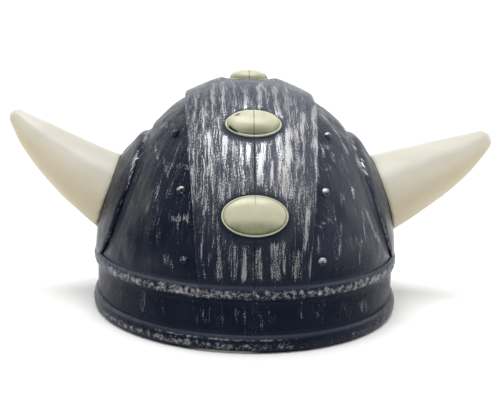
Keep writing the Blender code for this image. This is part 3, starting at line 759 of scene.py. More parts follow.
def paint_crown(crown):
    mesh = crown.data
    p, n = vertex_data(mesh)
    x, y, z = p.T
    h = z - DOME_FOOT
    above = DOME.above(p)
    form = Form(BAND_RAISE_FOOT, BAND_RAISE_TOP)
    raise_here = BAND_RAISE_FOOT + (BAND_RAISE_TOP - BAND_RAISE_FOOT) * np.clip(h / DOME_RISE, 0, 1)
    outside = (n * DOME.outward(p)).sum(1)

    # on the band, and how far in from its edge
    inward = band_half(z) - np.abs(x)
    on_band = (inward > -0.6) & (z > 37.4) & (above > 0.35)
    # on a plate, and how far in from its edge
    on_plate = np.zeros(len(p), bool)
    plate_in = np.full(len(p), -99.0)
    horn_off = np.full(len(p), 99.0)
    for side, table in ((-1.0, HORN_LEFT), (1.0, HORN_RIGHT)):
        d, _ = plate_distance(p, side)
        mine = x * side > 20.0
        plate_in = np.where(mine, d, plate_in)
        on_plate |= mine & (d > -0.5) & (above > 0.4) & ~on_band
        line = through(table, 40)
        axis = np.array([[side * q.x, 0.0, q.y] for q in line[:14]])
        radius = np.array([q.z for q in line[:14]])
        off = np.linalg.norm(p[:, None, :] - axis[None], axis=2) - radius[None]
        horn_off = np.where(mine, off.min(1), horn_off)

    # streaks run over the top along the band, and up and down elsewhere
    t = np.arctan2(np.maximum(h, -60) / form.c, -y / form.b)
    azimuth = np.arctan2(x / DOME.a, -y / DOME.b)
    rise = np.where(h > 0, np.arcsin(np.clip(h / DOME.c, -1, 1)) * 112.0, h)
    flow = np.stack([azimuth * 104.0, rise, np.full(len(p), 40.0)], 1)
    flow[on_band] = np.stack([x, t * 114.0, 0 * x], 1)[on_band]
    store(mesh, "flow", flow)

    # studs' clear margins
    halo = np.full(len(p), 99.0)
    clear = np.ones(len(p))
    for _, angle, half_width, half_height, _ in STUDS:
        d, _ = oval_distance(p, angle, half_width, half_height)
        halo = np.minimum(halo, d)
        place, normal, along = band_place(angle)
        below = np.clip(-((p - place) @ along) / half_height, -1, 1)
        reach = np.interp(below, [-1, 0, 1], [3.0, 2.2, 7.0])
        clear = np.minimum(clear, smooth(0.25, 1.0, d / reach))

    fx, fy = in_frame(p)
    view = EYE - p
    view /= np.linalg.norm(view, axis=1, keepdims=True)
    seen = smooth(0.02, 0.16, (n * view).sum(1)) * (y < 40)
    ragged = 1.1 * waver(flow, (2.6, 11, 1), 1.3)
    charted = stroke_cover(fx + ragged, fy + 5.0 * waver(flow, (1.9, 30, 1), 8.8), STROKES, 6.0)
    charted = charted * (1 + 0.14 * smooth(118.0, 128.0, z))
    charted = np.minimum(charted, 0.86 + 0.3 * (charted - 0.86)) * (0.85 + 0.22 * waver(flow, (2.4, 9, 1), 5.2))
    loose = np.zeros(len(p))
    band_loose = stroke_cover(x, t * 114.0, loose_strokes(5, 150, (-37, 37), (4, 340)))
    side_loose = stroke_cover(azimuth * 104.0, rise, loose_strokes(9, 120, (-325, 325), (4, 120)))
    loose = np.where(on_band, band_loose, 0.72 * side_loose)
    loose = np.where(z < 38.5, 0.0, loose)
    band_base = np.interp(z, [40, 62, 84, 96, 116, 126, 145], [0.20, 0.24, 0.37, 0.48, 0.46, 0.40, 0.37])
    side_base = np.interp(z, [40, 80, 120, 140], [0.07, 0.10, 0.18, 0.26])
    band_base = band_base * np.interp(x, [-40, 0, 40], [0.96, 1.0, 0.93])
    base = np.select([z < 29.6, z < 38.6, on_band, on_plate], [0.06, 0.0, band_base, side_base - 0.02], side_base)
    patchy = 0.10 * waver(flow, (17, 60, 1), 3.7) + 0.06 * waver(flow, (5, 26, 1), 6.1)
    drawn = seen * charted + (1 - seen) * loose
    brush = np.maximum((base + patchy) * clear, drawn * smooth(0.2, 1.4, halo))
    brush = brush * np.where(z > 38.6, smooth(39.5, 44.5, z), 1.0)
    store(mesh, "brush", np.clip(brush, 0, 1))
    # grey haze over the paint, partly dry-brushed haze and partly painted sheen: lighter up the band and towards the
    # +X side, kept off the studs' margins
    band_haze_and_sheen = np.interp(z, [44, 60, 78, 92, 120, 150], [0.02, 0.05, 0.17, 0.30, 0.26, 0.22])
    band_haze_and_sheen = band_haze_and_sheen * np.interp(x, [-40, -30, -15, 0, 15, 30, 40], [0.42, 0.62, 0.85, 1.25, 1.22, 1.05, 0.80])
    side_haze_and_sheen = np.interp(x, [-60, 20, 45, 75, 100], [0.0, 0.05, 0.10, 0.16, 0.20]) * smooth(40, 60, z)
    haze_and_sheen = np.where(on_band, band_haze_and_sheen * (0.45 + 0.55 * clear), side_haze_and_sheen)
    haze_and_sheen = haze_and_sheen * (1 + 0.30 * waver(flow, (7, 34, 1), 4.1)) * (z > 38.6)
    store(mesh, "haze_and_sheen", np.clip(haze_and_sheen, 0, 1))

    # thin worn line along the raised edges
    band_line = on_band * (1 - smooth(0.5, 1.5, inward)) * smooth(-0.6, 0.3, inward)
    plate_line = on_plate * (1 - smooth(0.5, 1.6, plate_in)) * smooth(-0.5, 0.3, plate_in)
    plate_line = plate_line * np.where(x > 0, 1.0, 0.8)
    store(mesh, "edge", np.clip(0.8 * band_line + plate_line, 0, 1) * smooth(40, 46, z))

    # beads: mottled silver low on the upper one, high on the lower one
    upper = np.exp(-(((z - 34.0) / 4.4 - 0.02) / 0.70) ** 4) * (z > 29.0) * (z < 38.6)
    ride = (z - 5.4) / 5.4
    lower = np.exp(-(((ride + 0.22) / 0.44) ** 4)) * (z > 0.2) * (z < 11.0)
    right = smooth(0.10, 0.38, azimuth) * (np.abs(azimuth) < 2.2)
    lower = lower * (1 - 0.60 * right)
    glints = np.exp(-(((ride - 0.50) / 0.14) ** 2)) * (z < 11.0)
    lower = np.maximum(lower, 1.70 * glints * (1 - right) * smooth(-0.72, -0.50, azimuth) * (0.75 + 0.5 * waver(p, (6, 6, 60), 2.6)))
    wander = 1.0 + 0.22 * waver(p, (16, 16, 60), 4.9)
    store(mesh, "bead", np.clip((0.80 * upper + 0.64 * lower) * wander, 0, 1))
    # painted highlight: a lighter grey line along the top of each bead
    crest = np.exp(-(((z - 34.0) / 4.4 - 0.85) / 0.22) ** 2) + 0.8 * np.exp(-(((z - 5.4) / 5.4 - 0.80) / 0.20) ** 2)
    store(mesh, "crest", np.clip(crest, 0, 1) * (z < 38.8))

    rivet = np.zeros(len(p))
    for out, zr in RIVETS:
        d = np.sqrt((np.abs(x) - out) ** 2 + (z - zr) ** 2)
        # painted highlight: each cap carries more silver on its upper, -X side
        lit = smooth(-0.35, 0.35, ((n - DOME.outward(p)) @ np.array([0.0, 0.0, 1.0])) - 0.35 * (n[:, 0] - DOME.outward(p)[:, 0]))
        worn = np.where(x < 0, 0.42, 0.85) if zr < 60 else 1.0
        worn = np.where((x < 0) & (zr > 100), 0.50, worn)
        rivet = np.maximum(rivet, worn * (1 - smooth(2.3, 3.0, d)) * (above > 0.35) * ~on_band * (0.25 + 0.75 * lit))
    store(mesh, "rivet", rivet)

    # pale overspray where the horns join the plates
    spray = (1 - smooth(0.5, 6.5, horn_off)) * smooth(-0.2, 0.5, above)
    spray = spray * np.where(x < 0, 0.30 + 0.45 * smooth(88.0, 98.0, z), 0.45 + 0.55 * smooth(66.0, 92.0, z))
    store(mesh, "spray", spray)
    # painted sheen: soft lighter olive-grey patches on the front flanks, off the band
    painted_sheen = np.zeros(len(p))
    for sx, sy, wide, tall, share in SHEEN_PATCHES:
        painted_sheen = np.maximum(painted_sheen, share * np.exp(-(((fx - sx) / wide) ** 2) - ((fy - sy) / tall) ** 2))
    store(mesh, "painted_sheen", painted_sheen * seen * ~on_band * (z > 38.6))
    rim = (1 - smooth(0.8, 1.6, z)) * smooth(-0.40, -0.22, azimuth) * (1 - smooth(-0.06, 0.06, azimuth))
    store(mesh, "bare_rim", rim)
    seam = (1 - smooth(0.25, 0.7, np.abs(x))) * on_band * clear * (1 - 0.9 * smooth(118.0, 126.0, z))
    store(mesh, "seam", seam)


def settle_shoulder(mesh):
    """The shell is a little lower between the band and the horn on the -X side."""
    p, _ = vertex_data(mesh)
    x, y, z = p.T
    drop = 2.1 * smooth(-87.0, -74.0, x) * (1 - smooth(-66.0, -41.0, x))
    drop = drop * np.exp(-(((y - 12.0) / 42.0) ** 2)) * smooth(97.0, 106.0, z)
    p = p - DOME.outward(p) * drop[:, None]
    mesh.vertices.foreach_set("co", (p * MM).ravel())
    mesh.update()


# ------------------------------------------------------------ horns and studs
def through(rows, count):
    """Smooth curve through the rows of a table, in equal steps."""
    points = [Vector(row) for row in rows]
    points = [points[0] * 2 - points[1]] + points + [points[-1] * 2 - points[-2]]
    spans = len(rows) - 1
    result = []
    for i in range(count + 1):
        u = spans * i / count
        k = min(int(u), spans - 1)
        t = u - k
        p0, p1, p2, p3 = points[k : k + 4]
        result.append(
            0.5
            * (
                2 * p1
                + (p2 - p0) * t
                + (2 * p0 - 5 * p1 + 4 * p2 - p3) * t * t
                + (3 * p1 - p0 - 3 * p2 + p3) * t**3
            )
        )
    return result


def horn_body(name, rows, side, thinner, around, steps, home, wavy=0.0):
    line = through(rows, steps)
    if not thinner:
        # a round cap that carries on the taper
        last, before = line[-1], line[-2]
        step = Vector((last.x - before.x, last.y - before.y))
        lean = math.atan2(before.z - last.z, step.length)
        step.normalize()
        tip = last.z / math.cos(lean)
        start = Vector((last.x, last.y)) - step * tip * math.sin(lean)
        for i in range(1, 10):
            r = lean + (math.radians(86.0) - lean) * i / 9
            at = start + step * tip * math.sin(r)
            line.append(Vector((at.x, at.y, tip * math.cos(r))))
    turn = np.linspace(0, 2 * math.pi, around, endpoint=False)
    rings = []
    for i, q in enumerate(line):
        a, b = line[max(i - 1, 0)], line[min(i + 1, len(line) - 1)]
        along = Vector((b.x - a.x, b.y - a.y)).normalized()
        up = np.array([-side * along.y, 0.0, along.x])
        centre = np.array([side * q.x, 0.0, q.y])
        radius = q.z - thinner
        rings.append(
            centre
            + np.cos(turn)[:, None] * radius * np.array([0.0, -1.0, 0.0])
            + np.sin(turn)[:, None] * radius * up
        )
    rings = np.array(rings)
    if wavy:
        centres = rings.mean(1, keepdims=True)
        out = rings - centres
        out /= np.linalg.norm(out, axis=2, keepdims=True)
        # a soft ridge along the front, and slight unevenness
        wave = 0.30 * waver(rings, (26, 14, 14), 2.0 + side) + 0.16 * waver(rings, (8, 8, 8), 5.0 + side)
        size = np.linalg.norm(rings - centres, axis=2)
        off_ridge = (turn - 0.40 + math.pi) % (2 * math.pi) - math.pi
        wave = (wave + size * (0.008 * np.cos(3 * off_ridge) + 0.040 * np.exp(-((off_ridge / 0.48) ** 2)))) * smooth(2.0, 9.0, size)
        rings = rings + out * (wavy * wave)[..., None]
    end = rings[-1].mean(0)
    start = rings[0].mean(0)
    return stack(name, rings, home, start, end)


def build_horn(name, rows, side, home):
    horn = horn_body(name, rows, side, 0.0, 96, 70, home, 1.0)
    cavity = horn_body("cavity", rows, side, HORN_WALL, 64, 40, home)
    cut = Form(PLATE_RAISE_FOOT + GAP, PLATE_RAISE_TOP + GAP)
    combine(horn, dome_solid("seat_cut", cut, 60, 220, 20.0, home), "DIFFERENCE")
    keep = Form(PLATE_RAISE_FOOT + GAP + HORN_WALL, PLATE_RAISE_TOP + GAP + HORN_WALL)
    combine(cavity, dome_solid("end_wall", keep, 40, 120, 20.0, home), "DIFFERENCE")
    centre, facing, _, _ = seat_place(side)
    form = Form(PLATE_RAISE_FOOT, PLATE_RAISE_TOP)
    face = float(np.linalg.norm(form.along(centre - facing * 40.0, facing) - (centre - facing * 40.0))) - 40.0
    peg = cylinder("peg", PEG_RADIUS, centre + facing * (face - WALL - PEG_PROUD), centre + facing * (face + 1.2), home, 48)
    combine(horn, peg, "UNION")
    combine(horn, cavity, "DIFFERENCE")
    vent = cylinder("vent", PEG_VENT, centre + facing * (face - 12.0), centre + facing * (face + 6.0), home, 24)
    combine(horn, vent, "DIFFERENCE")
    return horn


def build_stud(name, angle, half_width, half_height, rise, gaps, home):
    """Domed oval, its parting line, a narrow groove and a flat rounded lip."""
    dome = half_height - STUD_LIP - 0.25
    profile = []
    rows = 22
    for i in range(1, rows + 1):
        a = 0.5 * math.pi * i / rows
        r = dome * math.sin(a) ** 0.95
        z = STUD_LIP_THICK - 0.30 + (rise - STUD_LIP_THICK + 0.30) * math.cos(a) ** 0.9
        profile.append((r - half_height, z))
    profile += [
        (-STUD_LIP - 0.10, STUD_LIP_THICK - 0.29),
        (-STUD_LIP + 0.05, STUD_LIP_THICK - 0.10),
        (-STUD_LIP + 0.25, STUD_LIP_THICK + 0.04),
        (-0.45, STUD_LIP_THICK + 0.02),
        (-0.15, STUD_LIP_THICK - 0.12),
        (0.0, STUD_LIP_THICK * 0.6),
        (0.0, 0.0),
        (-half_height * 0.6, 0.0),
    ]
    stud = oval_body(name, profile, half_width, half_height, angle, SEAT_DEPTH - GAP, 144, home)
    # top point of the dome
    mesh = stud.data
    place, normal, along = band_place(angle)
    place = place - normal * (SEAT_DEPTH - GAP)
    for v in mesh.vertices:
        rel = np.array(v.co) / MM - place
        if math.hypot(rel[0], float(rel @ along)) < 1e-6 and float(rel @ normal) > 1.0:
            v.co = Vector((place + normal * rise) * MM)
    # the dome sits a little high within its lip
    p, _ = vertex_data(mesh)
    rel = p - place
    u, v, w = rel[:, 0], rel @ along, rel @ normal
    rho = np.sqrt((u / half_width) ** 2 + (v / half_height) ** 2)
    rise_up = (0.55 if angle < 90 else -0.55 if angle > 92 else 0.0) * (w > 0.3) * (1 - smooth(0.0, 1.15, (rho - 0.84) * half_height))
    p = p + along * rise_up[:, None]
    rel = p - place
    u, v, w = rel[:, 0], rel @ along, rel @ normal
    rho = np.sqrt((u / half_width) ** 2 + (v / half_height) ** 2)
    # how far in from the outline, and gaps where the dome stands off its lip
    inside = (1.0 - rho) * np.hypot(u, v) / np.maximum(rho, 1e-6)
    bearing = np.degrees(np.arctan2(v / half_height, u / half_width))
    gap = np.zeros(len(p))
    for low, high, near, far in gaps:
        middle, half = 0.5 * (low + high), 0.5 * (high - low)
        span = 1 - smooth(0.35, 1.0, np.abs((bearing - middle + 180.0) % 360.0 - 180.0) / half)
        reach = far * span
        gap = np.maximum(gap, smooth(near - 0.25, near + 0.15, inside) * (1 - smooth(reach - 0.35, reach + 0.15, inside)) * (span > 0.05))
    top = w > 0.2
    co = p - normal * (0.55 * gap * top)[:, None]
    mesh.vertices.foreach_set("co", (co * MM).ravel())
    fx, fy = in_frame(p)
    nick = np.zeros(len(p)) if angle > 92 else stroke_cover(fx, fy, [row + (1.0,) for row in STUD_MARKS], 0.5)
    # the gaps get a painted shadow in the finish; the nicks are dark marks
    store(mesh, "gap", np.maximum(gap, nick) * top)
    store(mesh, "local", np.stack([u, v, w], 1))
    store(mesh, "inside", inside)
    # line_reach also keeps the painted shade lower on the upper and top studs
    store(mesh, "line_reach", np.full(len(p), 0.0 if "lower" in name else 1.0))
    # which way is down on each stud, for its painted shade; the top stud gets little
    store(mesh, "downward", np.full(len(p), -0.30 if 85 < angle < 95 else -1.0 if angle < 85 else 1.0))
    return stud


# ------------------------------------------------------------------- materials
class Nodes:
    """Small helper that adds and links shader nodes."""

    def __init__(self, name):
        self.material = bpy.data.materials.new(name)
        self.material.use_nodes = True
        self.tree = self.material.node_tree
        self.shader = self.tree.nodes["Principled BSDF"]

    def put(self, socket, value):
        if isinstance(value, bpy.types.NodeSocket):
            self.tree.links.new(value, socket)
        elif isinstance(value, (tuple, list)) and len(value) == 3 and socket.type == "RGBA":
            socket.default_value = (*value, 1.0)
        else:
            socket.default_value = value

    def attribute(self, name, vector=False):
        node = self.tree.nodes.new("ShaderNodeAttribute")
        node.attribute_name = name
        return node.outputs["Vector" if vector else "Fac"]

    def place(self):
        return self.tree.nodes.new("ShaderNodeTexCoord").outputs["Object"]

    def math(self, operation, a, b=0.0, c=0.0):
        node = self.tree.nodes.new("ShaderNodeMath")
        node.operation = operation
        for socket, value in zip(node.inputs, (a, b, c)):
            self.put(socket, value)
        return node.outputs[0]

    def scaled(self, vector, scale, shift=(0.0, 0.0, 0.0)):
        node = self.tree.nodes.new("ShaderNodeVectorMath")
        node.operation = "MULTIPLY_ADD"
        self.put(node.inputs[0], vector)
        node.inputs[1].default_value = scale
        node.inputs[2].default_value = shift
        return node.outputs[0]

    def noise(self, vector, scale=1.0, detail=2.0, roughness=0.5, distortion=0.0):
        node = self.tree.nodes.new("ShaderNodeTexNoise")
        self.put(node.inputs["Vector"], vector)
        node.inputs["Scale"].default_value = scale
        node.inputs["Detail"].default_value = detail
        node.inputs["Roughness"].default_value = roughness
        node.inputs["Distortion"].default_value = distortion
        return node.outputs["Fac"]

    def step(self, value, low, high, to_low=0.0, to_high=1.0):
        node = self.tree.nodes.new("ShaderNodeMapRange")
        node.interpolation_type = "SMOOTHSTEP"
        self.put(node.inputs["Value"], value)
        node.inputs["From Min"].default_value = low
        node.inputs["From Max"].default_value = high
        node.inputs["To Min"].default_value = to_low
        node.inputs["To Max"].default_value = to_high
        return node.outputs["Result"]

    def mix(self, share, a, b):
        node = self.tree.nodes.new("ShaderNodeMix")
        node.data_type = "RGBA"
        self.put(node.inputs["Factor"], share)
        self.put(node.inputs[6], a)
        self.put(node.inputs[7], b)
        return node.outputs[2]

    def split(self, vector):
        node = self.tree.nodes.new("ShaderNodeSeparateXYZ")
        self.put(node.inputs[0], vector)
        return node.outputs

    def bump(self, height, strength, distance, normal=None):
        node = self.tree.nodes.new("ShaderNodeBump")
        node.inputs["Strength"].default_value = strength
        node.inputs["Distance"].default_value = distance
        self.put(node.inputs["Height"], height)
        if normal is not None:
            self.put(node.inputs["Normal"], normal)
        return node.outputs["Normal"]


def paint_material():
    """Satin dark navy paint with silver dry-brushed over it."""
    m = Nodes("crown_paint")
    flow = m.attribute("flow", True)
    spot = m.scaled(m.place(), (1000.0, 1000.0, 1000.0))
    height = m.split(spot)[2]
    brush = m.attribute("brush")
    sway = m.noise(m.scaled(flow, (0.16, 0.10, 1.0), (3.0, 1.0, 7.0)), 1.0, 2.0, 0.5)
    bent = m.tree.nodes.new("ShaderNodeCombineXYZ")
    m.put(bent.inputs[0], m.math("MULTIPLY_ADD", m.math("SUBTRACT", sway, 0.5), 2.6, 0.0))
    lines = m.tree.nodes.new("ShaderNodeVectorMath")
    lines.operation = "ADD"
    m.put(lines.inputs[0], flow)
    m.put(lines.inputs[1], bent.outputs[0])
    lines = lines.outputs[0]
    wide = m.noise(m.scaled(lines, (0.36, 0.030, 1.0)), 1.0, 2.0, 0.6)
    thin = m.noise(m.scaled(lines, (1.30, 0.078, 1.0), (11.0, 3.0, 2.0)), 1.0, 2.0, 0.65)
    grit = m.noise(m.scaled(flow, (1.90, 0.95, 1.0), (5.0, 9.0, 4.0)), 1.0, 3.0, 0.75)
    mottle = m.noise(spot, 0.34, 4.0, 0.76)
    blotch = m.noise(spot, 0.055, 2.0, 0.5)

    field = m.math("ADD", m.math("MULTIPLY", wide, 0.22), m.math("MULTIPLY", thin, 0.34))
    field = m.math("ADD", field, m.math("MULTIPLY", grit, 0.44))
    level = m.math("MULTIPLY_ADD", m.math("SUBTRACT", brush, 0.50), 0.235, field)
    streak = m.step(level, 0.486, 0.526)
    # painted highlight: the streaks' fringes lighten towards the top
    top = m.step(height, 60.0, 130.0, 0.10, 1.0)
    painted_top_sheen = m.math("MULTIPLY", m.step(level, 0.40, 0.50), m.math("MULTIPLY", top, 0.08))

    bead = m.attribute("bead")
    spotted = m.math("ADD", m.math("MULTIPLY", mottle, 0.74), m.math("MULTIPLY", grit, 0.26))
    spotted = m.math("MULTIPLY_ADD", m.math("SUBTRACT", bead, 0.62), 0.22, spotted)
    patches = m.math("MULTIPLY", m.step(spotted, 0.490, 0.550), m.step(bead, 0.03, 0.25))
    patch_bright = m.step(spotted, 0.54, 0.68, 0.0, 0.9)

    edge = m.attribute("edge")
    broken = m.noise(spot, 0.34, 4.0, 0.65)
    line = m.step(m.math("MULTIPLY_ADD", edge, 0.42, m.math("MULTIPLY", broken, 0.7)), 0.69, 0.76)
    line = m.math("MULTIPLY", line, 0.7)

    # rivet caps: silver, with more on each cap's upper side as a painted highlight
    cap = m.attribute("rivet")
    capped = m.step(m.math("MULTIPLY_ADD", m.math("SUBTRACT", cap, 0.5), 0.26, m.noise(spot, 0.9, 4.0, 0.7)), 0.46, 0.55)
    capped = m.math("MULTIPLY", capped, m.step(cap, 0.02, 0.2))

    silver = m.math("MAXIMUM", m.math("MULTIPLY", streak, 0.94), m.math("MULTIPLY", patches, 0.78))
    silver = m.math("MAXIMUM", silver, line)
    silver = m.math("MAXIMUM", silver, m.math("MULTIPLY", capped, 0.9))
    seam = m.attribute("seam")
    silver = m.math("MULTIPLY", silver, m.math("MULTIPLY_ADD", seam, -0.80, 1.0))

    navy = m.mix(m.step(blotch, 0.35, 0.65), (0.0034, 0.0056, 0.0150), (0.0062, 0.0088, 0.0200))
    # painted highlight: the grey haze and sheen and the top sheen lighten the navy
    navy = m.mix(m.math("ADD", painted_top_sheen, m.attribute("haze_and_sheen")), navy, (0.200, 0.212, 0.262))
    # painted highlight along the bead tops
    navy = m.mix(m.math("MULTIPLY", m.attribute("crest"), 0.20), navy, (0.20, 0.22, 0.28))
    # painted highlight: silver streaks are brightest at mid height, dimmer low down and near the top
    highlight_by_height = m.math("MULTIPLY", m.step(height, 48.0, 88.0, 0.38, 1.0), m.step(height, 122.0, 138.0, 1.0, 0.62))
    shine = m.math("MULTIPLY", m.step(level, 0.502, 0.570), highlight_by_height)
    bright = m.math("MAXIMUM", shine, m.math("MAXIMUM", patch_bright, cap))
    metal = m.mix(bright, (0.16, 0.158, 0.165), (0.56, 0.555, 0.562))
    colour = m.mix(silver, navy, metal)

    spray = m.attribute("spray")
    sprayed = m.math("MULTIPLY", spray, m.step(m.math("MULTIPLY_ADD", thin, 0.6, m.math("MULTIPLY", grit, 0.4)), 0.40, 0.60, 0.10, 1.0))
    colour = m.mix(m.math("MULTIPLY", sprayed, 0.62), colour, (0.185, 0.200, 0.118))
    # painted sheen: the listed patches lighten the paint towards olive-grey
    sheened = m.math("MULTIPLY", m.attribute("painted_sheen"), m.step(m.math("MULTIPLY_ADD", wide, 0.6, m.math("MULTIPLY", thin, 0.4)), 0.36, 0.60, 0.25, 1.0))
    colour = m.mix(sheened, colour, (0.125, 0.128, 0.100))
    rim = m.attribute("bare_rim")
    colour = m.mix(m.math("MULTIPLY", rim, m.step(m.noise(spot, 0.12, 2.0), 0.30, 0.42)), colour, (0.50, 0.485, 0.40))
    colour = m.mix(m.math("MULTIPLY", seam, 0.6), colour, (0.003, 0.004, 0.008))
    m.put(m.shader.inputs["Base Color"], colour)
    m.put(m.shader.inputs["Metallic"], m.math("MULTIPLY", silver, 0.60))
    rough = m.math("MULTIPLY_ADD", silver, 0.14, m.step(m.noise(spot, 0.11, 3.0), 0.3, 0.7, 0.24, 0.34))
    m.put(m.shader.inputs["Roughness"], rough)
    m.shader.inputs["IOR"].default_value = 1.45
    plain = m.math("MULTIPLY", m.step(height, 9.5, 13.0), m.step(height, 26.0, 30.0, 1.0, 0.0))
    m.put(m.shader.inputs["Specular IOR Level"], m.math("MULTIPLY_ADD", plain, -0.070, 0.135))
    m.shader.inputs["Specular Tint"].default_value = (0.72, 0.84, 1.0, 1.0)

    fine = m.noise(m.scaled(flow, (1.6, 0.25, 1.0), (2.0, 7.0, 1.0)), 1.0, 3.0, 0.6)
    first = m.bump(fine, 0.35, 0.0003)
    second = m.bump(m.noise(spot, 1.4, 2.0, 0.6), 0.22, 0.0002, first)
    lumpy = m.bump(m.math("MULTIPLY", mottle, m.step(bead, 0.05, 0.5)), 0.6, 0.0009, second)
    m.put(m.shader.inputs["Normal"], m.bump(silver, 0.30, 0.00012, lumpy))
    return m.material


def bare_material(name, light, dark, rough):
    """Bare cream plastic of the inside, with faint moulding flow and dust."""
    m = Nodes(name)
    spot = m.scaled(m.place(), (1000.0, 1000.0, 1000.0))
    flow = m.noise(m.scaled(spot, (1.0, 1.0, 0.35)), 0.05, 4.0, 0.55, 0.6)
    fine = m.noise(spot, 0.6, 3.0, 0.6)
    colour = m.mix(m.step(flow, 0.3, 0.7), light, dark)
    colour = m.mix(m.step(fine, 0.55, 0.75, 0.0, 0.25), colour, tuple(0.8 * c for c in dark))
    m.put(m.shader.inputs["Base Color"], colour)
    m.put(m.shader.inputs["Roughness"], m.step(flow, 0.3, 0.7, rough - 0.05, rough + 0.06))
    m.put(m.shader.inputs["Normal"], m.bump(fine, 0.15, 0.0002))
    return m.material


def horn_material():
    """Smooth cream plastic, with painted shade making it a little darker and warmer
    towards the underside, a painted lighter band along its sides, a painted shadow
    where it meets the plate, and faint lengthwise flow marks."""
    m = Nodes("horn_plastic")
    spot = m.scaled(m.place(), (1000.0, 1000.0, 1000.0))
    flow = m.noise(m.scaled(spot, (0.4, 1.0, 1.0)), 0.045, 3.0, 0.5, 0.4)
    fine = m.noise(spot, 0.9, 3.0, 0.6)
    colour = m.mix(m.step(flow, 0.32, 0.68), (0.585, 0.568, 0.496), (0.545, 0.522, 0.444))
    below = m.mix(m.step(flow, 0.32, 0.68), (0.590, 0.505, 0.352), (0.545, 0.478, 0.322))
    # painted shade: darker, warmer colour where the horn faces down
    colour = m.mix(m.attribute("painted_underside_shade"), colour, below)
    # painted light: lighter along the horn's sides
    colour = m.mix(m.math("MULTIPLY", m.attribute("painted_side_light"), 0.55), colour, (0.700, 0.655, 0.520))
    speck = m.step(m.noise(spot, 0.35, 4.0, 0.7), 0.66, 0.74, 0.0, 0.30)
    colour = m.mix(speck, colour, (0.46, 0.42, 0.30))
    root = m.attribute("root")
    colour = m.mix(m.math("MULTIPLY", root, 0.30), colour, (0.42, 0.41, 0.28))
    # painted shadow where the horn meets the plate
    colour = m.mix(m.math("MULTIPLY", m.attribute("painted_joint_shadow"), 0.9), colour, (0.030, 0.033, 0.020))
    m.put(m.shader.inputs["Base Color"], colour)
    m.put(m.shader.inputs["Roughness"], m.step(flow, 0.3, 0.7, 0.38, 0.47))
    m.shader.inputs["Subsurface Weight"].default_value = 0.08
    m.shader.inputs["Subsurface Radius"].default_value = (0.004, 0.003, 0.002)
    m.put(m.shader.inputs["Normal"], m.bump(fine, 0.12, 0.00015))
    return m.material


def stud_material():
    """Glossier cream plastic with painted shade darkening it towards olive along its
    lower part, near its lower edge and in the groove, painted shadow in the gaps
    round the dome, and a dark parting line."""
    m = Nodes("stud_plastic")
    local = m.attribute("local", True)
    u, v, w = m.split(local)
    inside = m.attribute("inside")
    spot = m.scaled(m.place(), (1000.0, 1000.0, 1000.0))
    soft = m.noise(spot, 0.13, 3.0, 0.55)
    colour = m.mix(m.step(soft, 0.3, 0.7), (0.570, 0.550, 0.400), (0.500, 0.482, 0.338))
    # painted shade: the dome darkens towards olive along its lower part and near its lower edge, less on the upper and
    # top studs
    below = m.math("MULTIPLY", v, m.attribute("downward"))
    low = m.step(m.math("MULTIPLY_ADD", m.attribute("line_reach"), -1.8, below), 1.8, 8.4)
    shade = m.math("MAXIMUM", m.math("MULTIPLY", m.step(inside, 1.0, 3.6, 1.0, 0.0), m.step(below, -7.0, 4.0, 0.0, 0.5)), low)
    shade = m.math("MULTIPLY", shade, m.step(soft, 0.2, 0.8, 0.75, 1.0))
    colour = m.mix(m.math("MULTIPLY", shade, 0.96), colour, (0.122, 0.138, 0.052))
    lip = m.step(inside, 1.00, 1.20, 1.0, 0.0)
    colour = m.mix(lip, colour, (0.470, 0.485, 0.350))
    # painted shade in the groove, mostly on its lower side
    groove = m.math("MULTIPLY", m.step(inside, 0.95, 1.15), m.step(inside, 1.25, 1.75, 1.0, 0.0))
    groove = m.math("MULTIPLY", groove, m.step(below, -4.0, 5.0, 0.0, 0.40))
    colour = m.mix(groove, colour, (0.060, 0.070, 0.035))
    # painted shadow: near-black in the gaps where the dome stands off its lip, and the dark nicks
    colour = m.mix(m.attribute("gap"), colour, (0.004, 0.005, 0.008))
    reach = m.attribute("line_reach")
    across = m.step(m.math("ABSOLUTE", u), 0.14, 0.50, 1.0, 0.0)
    upper = m.math("MAXIMUM", reach, m.step(below, -7.0, -4.5, 0.7, 0.0))
    colour = m.mix(m.math("MULTIPLY", m.math("MULTIPLY", across, upper), 0.72), colour, (0.09, 0.10, 0.045))
    m.put(m.shader.inputs["Base Color"], colour)
    m.put(m.shader.inputs["Roughness"], m.step(soft, 0.3, 0.7, 0.24, 0.33))
    m.put(m.shader.inputs["Normal"], m.bump(m.noise(spot, 0.8, 3.0, 0.6), 0.10, 0.00015))
    return m.material


def floor_material():
    m = Nodes("floor_card")
    spot = m.place()
    grain = m.noise(spot, 14.0, 3.0, 0.5)
    m.put(m.shader.inputs["Base Color"], m.mix(m.step(grain, 0.3, 0.7), (0.93, 0.93, 0.93), (0.95, 0.95, 0.95)))
    m.shader.inputs["Roughness"].default_value = 0.9
    return m.material


# -------------------------------------------------------------------- assembly
home = collection("helmet_looks")
paint = paint_material()
bare = bare_material("bare_plastic", (0.620, 0.575, 0.440), (0.540, 0.495, 0.370), 0.46)
horn_finish = horn_material()
stud_finish = stud_material()


def finish_piece(obj, angle, node):
    obj.data.shade_smooth()
    obj.data.set_sharp_from_angle(angle=math.radians(angle))
    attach(obj, "root")
    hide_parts(node)


crown = build_crown(home, paint, bare)
slots = np.empty(len(crown.data.polygons), np.int32)
crown.data.polygons.foreach_get("material_index", slots)
inside = [i for i, m in enumerate(crown.data.materials) if m == bare]
slots = np.isin(slots, inside).astype(np.int32)
crown.data.materials.clear()
crown.data.materials.append(paint)
crown.data.materials.append(bare)
crown.data.polygons.foreach_set("material_index", slots)
paint_crown(crown)
settle_shoulder(crown.data)
finish_piece(crown, 38.0, "crown")

